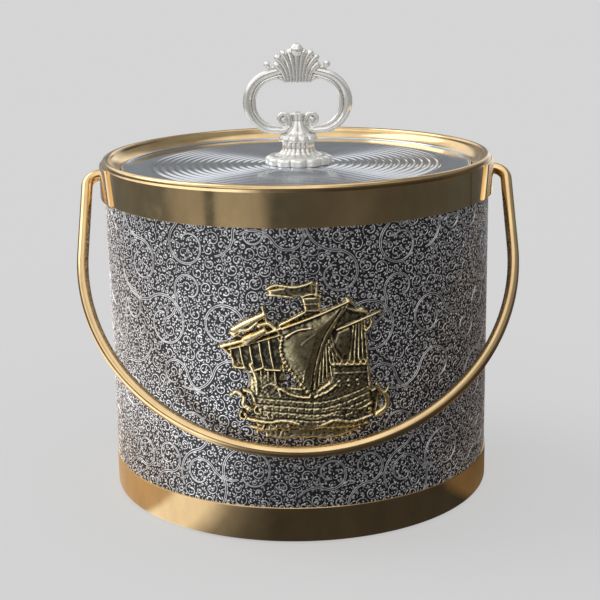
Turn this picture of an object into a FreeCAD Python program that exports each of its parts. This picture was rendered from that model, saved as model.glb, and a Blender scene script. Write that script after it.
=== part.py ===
import FreeCAD, Part
import math
import os

# An insulated ice bucket: a round, brocade-covered drum with two gold bands, a swinging bail
# handle, and a lift-off lid with a cast pull. Millimetres, +Z up. The origin is the centre of
# the flat underside, and the front of the bucket, where the galleon medallion is, faces -Y.

V = FreeCAD.Vector
UP = V(0, 0, 1)
ALONG_X = V(1, 0, 0)
ALONG_Y = V(0, 1, 0)
FREE = 0.3          # gap between bodies that move past each other without being a fit

# Drum
RIM_Z = 178.0
WRAP_R = 101.2      # outside of the brocade sheet
WRAP_T = 0.8
SHELL_T = 1.2
BAND_T = 0.6
BAND_R = WRAP_R + BAND_T
SHELL_R = WRAP_R - WRAP_T
SHELL_IN_R = SHELL_R - SHELL_T

# Gold bands
BOTTOM_BAND_TOP = 18.6
TOP_BAND_FOOT = 157.9
BAND_EDGE = 0.4     # the softened edge where a band meets the brocade
HEM_Z = 0.4
HEM_T = 0.8
HEM_IN_R = 95.5
HEM_BEND = 1.4
BEAD_R = 1.9        # rolled bead along the rim
BEAD_RING_R = 100.3
BEAD_MEETS = math.radians(46)   # how far below level the bead meets the band
SHELL_TOP = 174.4
COVE_HIGH = (98.5, 176.4)
COVE_MID = (96.3, 173.4)
COVE_LOW = (93.0, 171.6)
COVE_T = 0.6

# Base
PAD_T = HEM_Z + HEM_T
PAD_R = 95.2
BASE_T = 2.0
SHELL_FOOT = HEM_Z + HEM_T
BASE_TOP = SHELL_FOOT + BASE_T

# Ice liner and its insulation
LINER_MOUTH_R = 88.0
LINER_FLOOR_R = 84.0
LINER_WALL = 2.0
LINER_FLOOR_Z = 28.0
FLANGE_TOP = 169.0
FLANGE_T = 1.6
FLANGE_R = 98.9
LINER_FOOT_Z = LINER_FLOOR_Z - LINER_WALL
FOAM_R = 99.0
GASKET_IN_R = 93.6
GASKET_OUT_R = 96.4
GASKET_T = 2.0

# Ears and bail handle
PIVOT_Z = 167.6
ROD_R = 3.0
RUNNING_GAP = 0.06
CLEAR_HOLE_R = 3.5
EAR_T = 1.8
EAR_TOP = 175.4
EAR_HALF_TOP = math.radians(20)
EAR_HALF_FOOT = math.radians(23.5)
EAR_R = BAND_R + EAR_T
BAIL_HALF_WIDTH = 110.9
BAIL_ARM = 47.4
BAIL_BEND = 6.8
ROD_END_X = 96.8
PUSH_NUT_R = 4.8
PUSH_NUT_T = 1.2
PUSH_NUT_X = 97.3
POCKET_R = 8.0
POCKET_IN_X = 92.8

# Lid
LID_R = 92.1
LID_FLAT_Z = 172.3
LID_SKIN = 1.0
LID_SKIRT_FOOT = 169.9
LID_SKIRT_T = 0.7
LID_BEAD_R = 0.8
GROOVES = 15
GROOVE_PITCH = 4.0
GROOVE_DEPTH = 0.55
GROOVE_IN_R = 17.5
SEAL_T = 1.0
SEAL_IN_R = 88.4
SEAL_OUT_R = 91.0
PLUG_R = 86.0
PLUG_FOOT = 158.4
PLUG_WALL = 1.6
LID_UNDER = LID_FLAT_Z - LID_SKIN
SCREW_R = 2.5
SCREW_HEAD_R = 4.6
SCREW_HEAD_T = 3.1
SCREW_TIP = 185.0
WASHER_R = 8.0
WASHER_T = 1.2
SCREW_POCKET_R = 9.0
SCREW_POCKET_Z = 166.4

# Cast pull, heights above the flat of the lid
FOOT_R = 18.0
FOOT_LOBES = 12
LOBE_R = 4.4
LOBE_H = 2.6
COLUMN_R = 8.4
COLLAR_R = 10.4
COLLAR_LOW = 12.0
COLLAR_HIGH = 15.2
FLARE_TOP = 6.5
LOOP_Z = 32.2
LOOP_HALF_WIDTH = 25.6
LOOP_RADIUS = 14.6
LOOP_TUBE = 3.1
VOLUTE_X = 7.8
VOLUTE_Z = 22.8
VOLUTE_R = 3.8
PULL_DEPTH = 5.0
STALK_R = 4.6
CREST_BASE = 42.6
CREST_TOP = 59.0
BALL_R = 3.6
SIDE_BALL_R = 2.0
SIDE_BALL_X = 15.4
SIDE_BALL_Z = 52.2
ARM_IN_X = 6.5
ARM_OUT_X = 14.5
ARM_T = 2.4
ARM_H = 3.5
ARM_DROP = 4.0

# Galleon medallion
POST_R = 1.2
POST_HOLE_R = 1.5
POST_NUT_R = 4.0
POST_NUT_T = 1.0
POST_PLACES = [(-12.0, 68.0), (16.0, 84.0)]
POST_END_R = 97.4
INSIDE_WALL = 80.0    # well inside the wall, where cutting tools for the posts end
OUTSIDE_WALL = 110.0
WEB_T = 1.6           # thinnest part of the casting, where the bail passes below it


def spin(corners):
    """Turn a closed outline of (radius, height) corners into a solid of revolution."""
    points = [V(r, 0, z) for r, z in corners]
    face = Part.Face(Part.makePolygon(points + points[:1]))
    return face.revolve(V(0, 0, 0), UP, 360)


def disc(radius, low, high):
    return Part.makeCylinder(radius, high - low, V(0, 0, low))


def tube(outer, inner, low, high):
    return disc(outer, low, high).cut(disc(inner, low, high))


def arc_points(start, middle, end, steps):
    """Points along the arc through three (radius, height) places, both ends included."""
    arc = Part.Arc(V(start[0], 0, start[1]), V(middle[0], 0, middle[1]), V(end[0], 0, end[1]))
    shape = arc.toShape()
    return [(p.x, p.z) for p in shape.discretize(steps + 1)]


def rod_along_x(radius, low_x, high_x, z):
    return Part.makeCylinder(radius, high_x - low_x, V(low_x, 0, z), ALONG_X)


def both_sides(shape):
    return [shape, shape.mirror(V(0, 0, 0), ALONG_X)]


def pivot_holes(radius):
    """Cross bores on the bail's axis, out through the wall on both sides."""
    return both_sides(rod_along_x(radius, POCKET_IN_X, EAR_R + 1, PIVOT_Z))


def pivot_pockets():
    """Room behind the wall for each end of the bail and its push nut."""
    height = FLANGE_TOP + 1 - PIVOT_Z
    depth = FOAM_R + 1 - POCKET_IN_X
    round_end = rod_along_x(POCKET_R, POCKET_IN_X, FOAM_R + 1, PIVOT_Z)
    slot = Part.makeBox(depth, 2 * POCKET_R, height, V(POCKET_IN_X, -POCKET_R, PIVOT_Z))
    return both_sides(round_end.fuse(slot))


def post_rods(radius, inner, outer):
    """Rods through the front wall at the medallion's two posts, from inner to outer distance."""
    rods = []
    for x, z in POST_PLACES:
        rods.append(Part.makeCylinder(radius, outer - inner, V(x, -outer, z), ALONG_Y))
    return rods


def outer_shell():
    shell = tube(SHELL_R, SHELL_IN_R, SHELL_FOOT, SHELL_TOP)
    return shell.cut(pivot_holes(CLEAR_HOLE_R) + post_rods(POST_HOLE_R, INSIDE_WALL, OUTSIDE_WALL))


def brocade_wrap():
    sheet = tube(WRAP_R, SHELL_R, SHELL_FOOT, SHELL_TOP)
    return sheet.cut(pivot_holes(CLEAR_HOLE_R) + post_rods(POST_HOLE_R, INSIDE_WALL, OUTSIDE_WALL))


def top_band():
    bead_z = RIM_Z - BEAD_R
    low = (BEAD_RING_R + BEAD_R * math.cos(BEAD_MEETS), bead_z - BEAD_R * math.sin(BEAD_MEETS))
    out = (BEAD_RING_R + BEAD_R, bead_z)
    top = (BEAD_RING_R, RIM_Z)
    skin = [(WRAP_R, TOP_BAND_FOOT), (BAND_R, TOP_BAND_FOOT + BAND_EDGE), (BAND_R, bead_z - 1.9)]
    bead = arc_points(low, out, top, 14)
    shoulder = arc_points(top, (BEAD_RING_R - 1.45, bead_z + 1.2), COVE_HIGH, 6)
    cove = arc_points(COVE_HIGH, COVE_MID, COVE_LOW, 10)
    lip = [(COVE_LOW[0], COVE_LOW[1] - COVE_T), (COVE_LOW[0] + 0.5, COVE_LOW[1] - COVE_T)]
    under_mid = (COVE_MID[0] + 0.45, COVE_MID[1] - COVE_T)
    under = arc_points(lip[1], under_mid, (COVE_HIGH[0] + 0.5, SHELL_TOP), 10)
    outline = skin + bead + shoulder[1:] + cove[1:] + lip + under[1:] + [(WRAP_R, SHELL_TOP)]
    return spin(outline).cut(pivot_holes(CLEAR_HOLE_R))


def bottom_band():
    cut_back = HEM_BEND * (1 - math.sqrt(0.5))
    bend_top = (BAND_R, HEM_Z + HEM_BEND)
    bend_mid = (BAND_R - cut_back, HEM_Z + cut_back)
    corner = arc_points(bend_top, bend_mid, (BAND_R - HEM_BEND, HEM_Z), 6)
    skin = [(WRAP_R, BOTTOM_BAND_TOP), (BAND_R, BOTTOM_BAND_TOP - BAND_EDGE)]
    hem = [(HEM_IN_R, HEM_Z), (HEM_IN_R, HEM_Z + HEM_T), (WRAP_R, HEM_Z + HEM_T)]
    return spin(skin + corner + hem)


def base_disc():
    return disc(SHELL_IN_R, SHELL_FOOT, BASE_TOP)


def base_pad():
    return disc(PAD_R, 0, PAD_T)


def liner_outer_r(z):
    """The liner's outside radius at a height: it is drafted, wider at the mouth."""
    share = (z - LINER_FLOOR_Z) / (FLANGE_TOP - LINER_FLOOR_Z)
    return LINER_FLOOR_R + LINER_WALL + share * (LINER_MOUTH_R - LINER_FLOOR_R)


def inner_liner():
    under_flange = FLANGE_TOP - FLANGE_T
    corners = [
        (0, LINER_FOOT_Z),
        (liner_outer_r(LINER_FOOT_Z), LINER_FOOT_Z),
        (liner_outer_r(under_flange), under_flange),
        (FLANGE_R, under_flange),
        (FLANGE_R, FLANGE_TOP),
        (LINER_MOUTH_R, FLANGE_TOP),
        (LINER_FLOOR_R, LINER_FLOOR_Z),
        (0, LINER_FLOOR_Z),
    ]
    return spin(corners).cut(pivot_pockets())


def insulation_sleeve():
    top = FLANGE_TOP - FLANGE_T
    corners = [
        (liner_outer_r(LINER_FOOT_Z), LINER_FOOT_Z),
        (FOAM_R, LINER_FOOT_Z),
        (FOAM_R, top),
        (liner_outer_r(top), top),
    ]
    pockets = pivot_pockets() + post_rods(POST_NUT_R + 1, POST_END_R - 3, OUTSIDE_WALL)
    return spin(corners).cut(pockets)


def insulation_disc():
    return disc(FOAM_R, BASE_TOP, LINER_FOOT_Z)


def rim_gasket():
    return tube(GASKET_OUT_R, GASKET_IN_R, FLANGE_TOP, FLANGE_TOP + GASKET_T)


def ear():
    """A curved plate, wider at its foot, tucked under the bead on the right-hand side."""
    half_top = EAR_R * math.sin(EAR_HALF_TOP)
    half_foot = EAR_R * math.sin(EAR_HALF_FOOT)
    corners = [
        V(0, -half_foot, TOP_BAND_FOOT),
        V(0, half_foot, TOP_BAND_FOOT),
        V(0, half_top, EAR_TOP),
        V(0, -half_top, EAR_TOP),
    ]
    blank = Part.Face(Part.makePolygon(corners + corners[:1])).extrude(V(EAR_R + 10, 0, 0))
    skin = tube(EAR_R, BAND_R, TOP_BAND_FOOT, EAR_TOP)
    plate = blank.common(skin)
    plate = plate.cut(Part.makeTorus(BEAD_RING_R, BEAD_R, V(0, 0, RIM_Z - BEAD_R), UP))
    return plate.cut(rod_along_x(ROD_R + RUNNING_GAP, BAND_R - 9, EAR_R + 1, PIVOT_Z))


def bail_rest_angle():
    """How far forward the bail leans when its lowest point lies against the brocade."""
    reach = BAIL_ARM + BAIL_HALF_WIDTH
    return math.degrees(math.asin((WRAP_R + ROD_R + FREE) / reach))


def bail_handle():
    """A round rod: two arms joined by a half circle, with its ends turned in through the ears."""
    bend_x = BAIL_HALF_WIDTH - BAIL_BEND
    w = BAIL_HALF_WIDTH
    diagonal = BAIL_BEND * math.sqrt(0.5)
    bend_mid = (bend_x + diagonal, diagonal - BAIL_BEND)

    def bend(side, inward):
        middle = V(side * bend_mid[0], 0, bend_mid[1])
        points = [V(side * bend_x, 0, 0), middle, V(side * w, 0, -BAIL_BEND)]
        if inward:
            points.reverse()
        return Part.Arc(*points).toShape()

    path = [
        Part.makeLine(V(ROD_END_X, 0, 0), V(bend_x, 0, 0)),
        bend(1, False),
        Part.makeLine(V(w, 0, -BAIL_BEND), V(w, 0, -BAIL_ARM)),
        Part.Arc(V(w, 0, -BAIL_ARM), V(0, 0, -BAIL_ARM - w), V(-w, 0, -BAIL_ARM)).toShape(),
        Part.makeLine(V(-w, 0, -BAIL_ARM), V(-w, 0, -BAIL_BEND)),
        bend(-1, True),
        Part.makeLine(V(-bend_x, 0, 0), V(-ROD_END_X, 0, 0)),
    ]
    section = Part.Wire([Part.makeCircle(ROD_R, V(ROD_END_X, 0, 0), ALONG_X)])
    rod = Part.Wire(path).makePipeShell([section], True, True)
    rod.rotate(V(0, 0, 0), ALONG_X, -bail_rest_angle())
    rod.translate(V(0, 0, PIVOT_Z))
    return rod


def bail_push_nuts():
    """Spring-steel caps pressed on the rod's ends, behind the wall."""
    cap = rod_along_x(PUSH_NUT_R, PUSH_NUT_X, PUSH_NUT_X + PUSH_NUT_T, PIVOT_Z)
    cap = cap.cut(rod_along_x(ROD_R, PUSH_NUT_X - 1, PUSH_NUT_X + PUSH_NUT_T + 1, PIVOT_Z))
    return Part.makeCompound(both_sides(cap))


def relief(corners, thickness):
    """A flat outline of (x, z) corners laid on the curved wall with one thickness."""
    points = [V(x, 0, z) for x, z in corners]
    blank = Part.Face(Part.makePolygon(points + points[:1])).extrude(V(0, -WRAP_R - 20, 0))
    low = min(z for x, z in corners) - 1
    high = max(z for x, z in corners) + 1
    return blank.common(tube(WRAP_R + thickness, WRAP_R, low, high))


def galleon_medallion():
    hull = [(-26, 76), (-22, 62), (-15, 53.4), (20, 53.4), (31, 58), (36, 64), (34, 92),
            (15, 92.5), (13, 78), (-8, 79), (-12, 90), (-24, 88)]
    spray = [(-24, 76), (-22, 62), (-15, 53), (20, 53), (31, 58), (36, 66), (0, 66)]
    main_sail = [(-9, 111), (24, 123), (12, 106), (7, 96), (2, 88), (5, 76), (-3, 84), (-9, 92)]
    fore_sail = [(-38, 100), (-22, 106), (-8, 111), (-7, 84), (-20, 86), (-30, 92)]
    fore_top = [(-29, 108), (-17, 118), (-14, 112), (-6, 113), (4, 120), (6, 116), (-8, 108), (-24, 103)]
    rigging = [(6, 76), (0, 100), (4, 120), (8, 126), (12, 118), (24, 122), (30, 112), (33, 90)]
    mizzen = [(16, 108), (22, 122), (31, 121), (38, 116.5), (32, 110), (31, 90), (15, 90)]
    crows_nest = [(1, 126), (11, 126), (10, 116), (3, 116)]
    pennant = [(-15, 129), (-8, 131), (0, 130), (6.5, 132.4), (7.5, 124), (4, 124), (4, 127), (-8, 126)]
    sea_left = [(-33, 77), (-27, 79), (-20, 78), (-20, 60)]
    dolphin = [(34, 76), (37, 79), (42, 72), (40, 64), (33, 62)]
    shapes = [
        relief(hull, 3.4), relief(main_sail, 4.2), relief(fore_sail, 2.6), relief(fore_top, 2.6),
        relief(rigging, 1.6), relief(mizzen, 2.4), relief(crows_nest, 2.6), relief(pennant, 1.8),
        relief(sea_left, 1.8), relief(dolphin, 2.4),
    ]
    casting = shapes[0].multiFuse(shapes[1:])
    above_web = relief([(-40, 50), (44, 50), (44, 62), (-40, 62)], 8).cut(relief(spray, WEB_T))
    casting = casting.cut(above_web)
    posts = [post.cut(disc(POST_END_R, 0, RIM_Z)) for post in post_rods(POST_R, INSIDE_WALL, WRAP_R)]
    return casting.multiFuse(posts).removeSplitter()


def medallion_push_nuts():
    """Caps pressed on the medallion's posts, against the inside of the shell."""
    nuts = []
    for x, z in POST_PLACES:
        outer_y = math.sqrt(SHELL_IN_R ** 2 - (abs(x) + POST_NUT_R) ** 2)
        cap = Part.makeCylinder(POST_NUT_R, POST_NUT_T, V(x, -outer_y, z), ALONG_Y)
        bore = Part.makeCylinder(POST_R, 30, V(x, -outer_y - 10, z), ALONG_Y)
        nuts.append(cap.cut(bore))
    return Part.makeCompound(nuts)


def lid_disc():
    """The spun lid: concentric grooves, a plain border, a fine bead and a turned-down edge."""
    top = [(0, LID_FLAT_Z), (GROOVE_IN_R, LID_FLAT_Z)]
    for i in range(GROOVES):
        start = GROOVE_IN_R + i * GROOVE_PITCH
        top.append((start + GROOVE_PITCH / 2, LID_FLAT_Z - GROOVE_DEPTH))
        top.append((start + GROOVE_PITCH, LID_FLAT_Z))
    bead_r = LID_R - LID_BEAD_R
    bead_top = (bead_r, LID_FLAT_Z + LID_BEAD_R)
    bead = arc_points((bead_r - LID_BEAD_R, LID_FLAT_Z), bead_top, (LID_R, LID_FLAT_Z), 8)
    inside = LID_R - LID_SKIRT_T
    skirt = [(LID_R, LID_SKIRT_FOOT), (inside, LID_SKIRT_FOOT), (inside, LID_UNDER), (0, LID_UNDER)]
    plate = spin(top + bead + skirt)
    return plate.cut(disc(SCREW_R, LID_UNDER - 1, LID_FLAT_Z + 1))


def lid_liner():
    """The plastic pan under the lid: a plug that drops into the liner, with a thin flange."""
    flange_foot = FLANGE_TOP + FREE + SEAL_T
    corners = [
        (0, PLUG_FOOT),
        (PLUG_R, PLUG_FOOT),
        (PLUG_R, flange_foot),
        (LID_R - LID_SKIRT_T, flange_foot),
        (LID_R - LID_SKIRT_T, LID_UNDER),
        (PLUG_R - PLUG_WALL, LID_UNDER),
        (PLUG_R - PLUG_WALL, PLUG_FOOT + PLUG_WALL),
        (0, PLUG_FOOT + PLUG_WALL),
    ]
    return spin(corners)


def lid_insulation():
    foam = disc(PLUG_R - PLUG_WALL, PLUG_FOOT + PLUG_WALL, LID_UNDER)
    return foam.cut(disc(SCREW_POCKET_R, SCREW_POCKET_Z, LID_UNDER + 1))


def lid_seal():
    low = FLANGE_TOP + FREE
    return tube(SEAL_OUT_R, SEAL_IN_R, low, low + SEAL_T)


def pull_washer():
    return tube(WASHER_R, SCREW_R, LID_UNDER - WASHER_T, LID_UNDER)


def pull_screw():
    seat = LID_UNDER - WASHER_T
    head = disc(SCREW_HEAD_R, seat - SCREW_HEAD_T, seat)
    return head.fuse(disc(SCREW_R, seat, SCREW_TIP))


def crest_outline():
    """Scalloped fan outline of the crest, from its narrow base to its lobed top."""
    lobes = [(7.0, 0.0), (9.5, 4.0), (13.5, 5.6), (12.6, 9.4),
             (10.0, 9.6), (10.6, 14.0), (6.6, 15.6), (2.6, 15.0)]
    right = [(x, CREST_BASE + z) for x, z in lobes]
    left = [(-x, z) for x, z in reversed(right)]
    return right + left


def pull_loop():
    """The round-ended loop that the fingers go through."""
    flat = LOOP_HALF_WIDTH - LOOP_RADIUS
    low = LOOP_Z - LOOP_RADIUS
    high = LOOP_Z + LOOP_RADIUS
    path = [
        Part.makeLine(V(0, 0, low), V(flat, 0, low)),
        Part.Arc(V(flat, 0, low), V(LOOP_HALF_WIDTH, 0, LOOP_Z), V(flat, 0, high)).toShape(),
        Part.makeLine(V(flat, 0, high), V(-flat, 0, high)),
        Part.Arc(V(-flat, 0, high), V(-LOOP_HALF_WIDTH, 0, LOOP_Z), V(-flat, 0, low)).toShape(),
        Part.makeLine(V(-flat, 0, low), V(0, 0, low)),
    ]
    section = Part.Wire([Part.makeCircle(LOOP_TUBE, V(0, 0, low), ALONG_X)])
    return Part.Wire(path).makePipeShell([section], True, True)


def lid_pull():
    """One casting: scalloped foot, column with a collar, oval loop, volutes and shell crest."""
    turned = [
        (0, 0),
        (FOOT_R - LOBE_R, 0),
        (FOOT_R - LOBE_R, LOBE_H),
        (COLUMN_R, FLARE_TOP),
        (COLUMN_R, COLLAR_LOW),
        (COLLAR_R, COLLAR_LOW + 1),
        (COLLAR_R, COLLAR_HIGH),
        (STALK_R, COLLAR_HIGH),
        (STALK_R, VOLUTE_Z + 3),
        (0, VOLUTE_Z + 3),
    ]
    pieces = [pull_loop()]
    for i in range(FOOT_LOBES):
        turn = 2 * math.pi * i / FOOT_LOBES
        middle = V((FOOT_R - LOBE_R) * math.cos(turn), (FOOT_R - LOBE_R) * math.sin(turn), 0)
        pieces.append(Part.makeCylinder(LOBE_R, LOBE_H, middle))
    half_depth = PULL_DEPTH / 2
    for side in (-1, 1):
        eye = V(side * VOLUTE_X, -half_depth, VOLUTE_Z)
        pieces.append(Part.makeCylinder(VOLUTE_R, PULL_DEPTH, eye, ALONG_Y))
        pieces.append(Part.makeSphere(SIDE_BALL_R, V(side * SIDE_BALL_X, 0, SIDE_BALL_Z)))
        arm_x = min(side * ARM_IN_X, side * ARM_OUT_X)
        corner = V(arm_x, -ARM_T / 2, SIDE_BALL_Z - ARM_DROP)
        pieces.append(Part.makeBox(ARM_OUT_X - ARM_IN_X, ARM_T, ARM_H, corner))
    points = [V(x, -half_depth, z) for x, z in crest_outline()]
    pieces.append(Part.Face(Part.makePolygon(points + points[:1])).extrude(V(0, PULL_DEPTH, 0)))
    pieces.append(Part.makeSphere(BALL_R, V(0, 0, CREST_TOP)))
    casting = spin(turned).multiFuse(pieces)
    casting.translate(V(0, 0, LID_FLAT_Z))
    return casting.cut(disc(SCREW_R, LID_FLAT_Z - 1, SCREW_TIP))


right_ear, left_ear = both_sides(ear())
NODES = {
    "outer_shell": outer_shell(),
    "brocade_wrap": brocade_wrap(),
    "top_band": top_band(),
    "bottom_band": bottom_band(),
    "base_disc": base_disc(),
    "base_pad": base_pad(),
    "inner_liner": inner_liner(),
    "insulation_sleeve": insulation_sleeve(),
    "insulation_disc": insulation_disc(),
    "rim_gasket": rim_gasket(),
    "galleon_medallion": galleon_medallion(),
    "medallion_push_nuts": medallion_push_nuts(),
    "ear_right": right_ear,
    "ear_left": left_ear,
    "bail_handle": bail_handle(),
    "bail_push_nuts": bail_push_nuts(),
    "lid_disc": lid_disc(),
    "lid_liner": lid_liner(),
    "lid_insulation": lid_insulation(),
    "lid_seal": lid_seal(),
    "lid_pull": lid_pull(),
    "pull_screw": pull_screw(),
    "pull_washer": pull_washer(),
}

os.makedirs("parts", exist_ok=True)
for name, shape in NODES.items():
    print(name, "valid", shape.isValid(), "solids", len(shape.Solids), shape.BoundBox)
    shape.exportStep("parts/" + name + ".step")
lean = bail_rest_angle()
print("bail leans", round(lean, 3), "degrees and swings", round(360 - 2 * lean, 2))
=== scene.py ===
import cmath
import math

import bmesh
import bpy
import numpy as np
from mathutils import Matrix, Vector


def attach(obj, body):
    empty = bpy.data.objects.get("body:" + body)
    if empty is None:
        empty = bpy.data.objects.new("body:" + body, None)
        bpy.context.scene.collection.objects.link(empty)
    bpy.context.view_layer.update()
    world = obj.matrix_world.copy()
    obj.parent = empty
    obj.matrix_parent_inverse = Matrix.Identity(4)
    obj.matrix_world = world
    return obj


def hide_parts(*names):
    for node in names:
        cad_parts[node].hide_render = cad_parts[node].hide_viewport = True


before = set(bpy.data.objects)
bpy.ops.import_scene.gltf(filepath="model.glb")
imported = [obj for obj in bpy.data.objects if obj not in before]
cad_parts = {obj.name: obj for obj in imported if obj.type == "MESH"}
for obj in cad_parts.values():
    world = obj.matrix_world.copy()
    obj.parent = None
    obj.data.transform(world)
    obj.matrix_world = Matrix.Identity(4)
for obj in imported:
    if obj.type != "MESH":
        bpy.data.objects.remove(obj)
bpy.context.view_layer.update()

# ---- Steel shell and its base -------------------------------------------------------------
# The drum's inner shell is rolled steel. A pressed-board disc closes its foot, and a thin felt
# pad glued under the board is what the bucket stands on. Their shapes come from the frame.

MM = 0.001


def new_finish(name, metallic=0):
    """A material with only its Principled shader; returns it, its nodes, links and shader."""
    material = bpy.data.materials.new(name)
    material.use_nodes = True
    nodes = material.node_tree.nodes
    shader = nodes["Principled BSDF"]
    shader.inputs["Metallic"].default_value = metallic
    return material, nodes, material.node_tree.links, shader


def cloud(nodes, links, size, detail=3.0, stretch=(1, 1, 1)):
    """Noise in Object coordinates whose blotches are about size millimetres across."""
    place = nodes.new("ShaderNodeTexCoord")
    scale = nodes.new("ShaderNodeMapping")
    scale.inputs["Scale"].default_value = stretch
    noise = nodes.new("ShaderNodeTexNoise")
    noise.inputs["Scale"].default_value = 1 / (size * MM)
    noise.inputs["Detail"].default_value = detail
    links.new(place.outputs["Object"], scale.inputs["Vector"])
    links.new(scale.outputs["Vector"], noise.inputs["Vector"])
    return noise.outputs["Fac"]


def between(nodes, links, factor, low, high):
    """Maps the useful middle of a noise factor onto a range of numbers."""
    spread = nodes.new("ShaderNodeMapRange")
    spread.inputs["From Min"].default_value = 0.3
    spread.inputs["From Max"].default_value = 0.7
    spread.inputs["To Min"].default_value = low
    spread.inputs["To Max"].default_value = high
    links.new(factor, spread.inputs["Value"])
    return spread.outputs["Result"]


def two_tones(nodes, links, factor, first, second):
    """Blends two colours by a factor."""
    mix = nodes.new("ShaderNodeMix")
    mix.data_type = "RGBA"
    mix.inputs["A"].default_value = (*first, 1)
    mix.inputs["B"].default_value = (*second, 1)
    links.new(factor, mix.inputs["Factor"])
    return mix.outputs["Result"]


def surface_grain(nodes, links, shader, factor, depth):
    """Fine relief of the given depth in millimetres."""
    bump = nodes.new("ShaderNodeBump")
    bump.inputs["Distance"].default_value = depth * MM
    links.new(factor, bump.inputs["Height"])
    links.new(bump.outputs["Normal"], shader.inputs["Normal"])


def worked_finish(name, light, dark, metallic, polish, blotch, grain, depth, stretch=(1, 1, 1)):
    """Two close tones, an uneven polish and a fine grain; polish is (smoothest, roughest)."""
    material, nodes, links, shader = new_finish(name, metallic)
    drift = between(nodes, links, cloud(nodes, links, blotch), 0, 1)
    links.new(two_tones(nodes, links, drift, light, dark), shader.inputs["Base Color"])
    wear = cloud(nodes, links, blotch / 3, 4.0, stretch)
    links.new(between(nodes, links, wear, *polish), shader.inputs["Roughness"])
    surface_grain(nodes, links, shader, cloud(nodes, links, grain, 2.0, stretch), depth)
    return material


def dress(node, material):
    """Gives a piece carried over from the frame its finish."""
    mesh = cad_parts[node].data
    mesh.materials.clear()
    mesh.materials.append(material)


drawn_upwards = (1, 1, 14)
shell_steel = worked_finish(
    "rolled_steel", (0.50, 0.50, 0.51), (0.38, 0.38, 0.39), 1, (0.28, 0.42), 40, 0.6, 0.02, drawn_upwards
)
base_board = worked_finish(
    "pressed_board", (0.17, 0.12, 0.08), (0.10, 0.07, 0.05), 0, (0.75, 0.9), 12, 0.5, 0.08
)
base_felt = worked_finish(
    "black_felt", (0.022, 0.022, 0.024), (0.012, 0.012, 0.013), 0, (0.9, 1.0), 9, 0.3, 0.15
)
dress("outer_shell", shell_steel)
dress("base_disc", base_board)
dress("base_pad", base_felt)

# ---- Foam jacket and ice liner ------------------------------------------------------------
# White foam fills the wall between the shell and a moulded cream plastic liner whose flange
# sits on the shell. A soft grey rubber ring on the flange seals under the rim.

foam = worked_finish(
    "moulded_foam", (0.86, 0.85, 0.80), (0.76, 0.75, 0.70), 0, (0.8, 0.95), 8, 1.6, 0.2
)
liner_plastic = worked_finish(
    "cream_liner_plastic", (0.80, 0.76, 0.66), (0.74, 0.70, 0.60), 0, (0.16, 0.3), 45, 2.5, 0.01
)
seal_rubber = worked_finish(
    "seal_rubber", (0.030, 0.030, 0.032), (0.018, 0.018, 0.020), 0, (0.55, 0.75), 6, 0.4, 0.03
)
for foam_part in ("insulation_sleeve", "insulation_disc", "lid_insulation"):
    dress(foam_part, foam)
for moulded_part in ("inner_liner", "lid_liner"):
    dress(moulded_part, liner_plastic)
for rubber_part in ("rim_gasket", "lid_seal"):
    dress(rubber_part, seal_rubber)

# ---- Brocade covering ---------------------------------------------------------------------
# A sheet of black vinyl is glued round the drum, from under one gold band to under the other.
# Its ends lap at the back, where the upper end makes a low vertical step.

WALL_R = 101.2
SHEET_T = 0.8
COVER_LOW = 18.6
COVER_HIGH = 157.9
UNDER_BAND = 12


def placed(name, data):
    """Puts a mesh, light or camera in the scene as an object at the origin."""
    thing = bpy.data.objects.new(name, data)
    bpy.context.scene.collection.objects.link(thing)
    return thing


def mesh_piece(name, points, faces, material, sharp=None, recalc=True):
    """A closed, smooth-shaded mesh object at the origin; points are in millimetres."""
    mesh = bpy.data.meshes.new(name)
    mesh.from_pydata(np.asarray(points, float) * MM, [], faces)
    if recalc:
        work = bmesh.new()
        work.from_mesh(mesh)
        bmesh.ops.recalc_face_normals(work, faces=work.faces)
        work.to_mesh(mesh)
        work.free()
    mesh.shade_smooth()
    if sharp:
        mesh.set_sharp_from_angle(angle=math.radians(sharp))
    mesh.materials.append(material)
    return placed(name, mesh)


def lathe(name, outline, material, steps=320, sharp=40):
    """Spins a closed outline of (radius, height) corners round the drum's axis."""
    points = []
    rings = []
    for r, z in outline:
        if r < 1e-6:
            rings.append([len(points)] * steps)
            points.append((0, 0, z))
        else:
            rings.append(list(range(len(points), len(points) + steps)))
            for k in range(steps):
                turn = 2 * math.pi * k / steps
                points.append((r * math.sin(turn), -r * math.cos(turn), z))
    faces = []
    for a, b in zip(rings, rings[1:] + rings[:1]):
        for k in range(steps):
            m = (k + 1) % steps
            corners = list(dict.fromkeys((a[k], a[m], b[m], b[k])))
            if len(corners) > 2:
                faces.append(corners)
    return mesh_piece(name, points, faces, material, sharp)


def tube_faces(rows, n):
    """Faces of a closed bar made of rows of n corners: its two ends, then its sides."""
    faces = [list(range(n))[::-1], list(range((rows - 1) * n, rows * n))]
    for j in range(rows - 1):
        for i in range(n):
            k = (i + 1) % n
            faces.append((j * n + i, j * n + k, (j + 1) * n + k, (j + 1) * n + i))
    return faces


def strip_up_wall(name, section, low, high, middle, material):
    """A closed strip up the wall; its cross-section is (arc length, radius) corners."""
    points = []
    for z in (low, high):
        for s, r in section:
            turn = middle + s / WALL_R
            points.append((r * math.sin(turn), -r * math.cos(turn), z))
    return mesh_piece(name, points, tube_faces(2, len(section)), material, 30)


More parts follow.
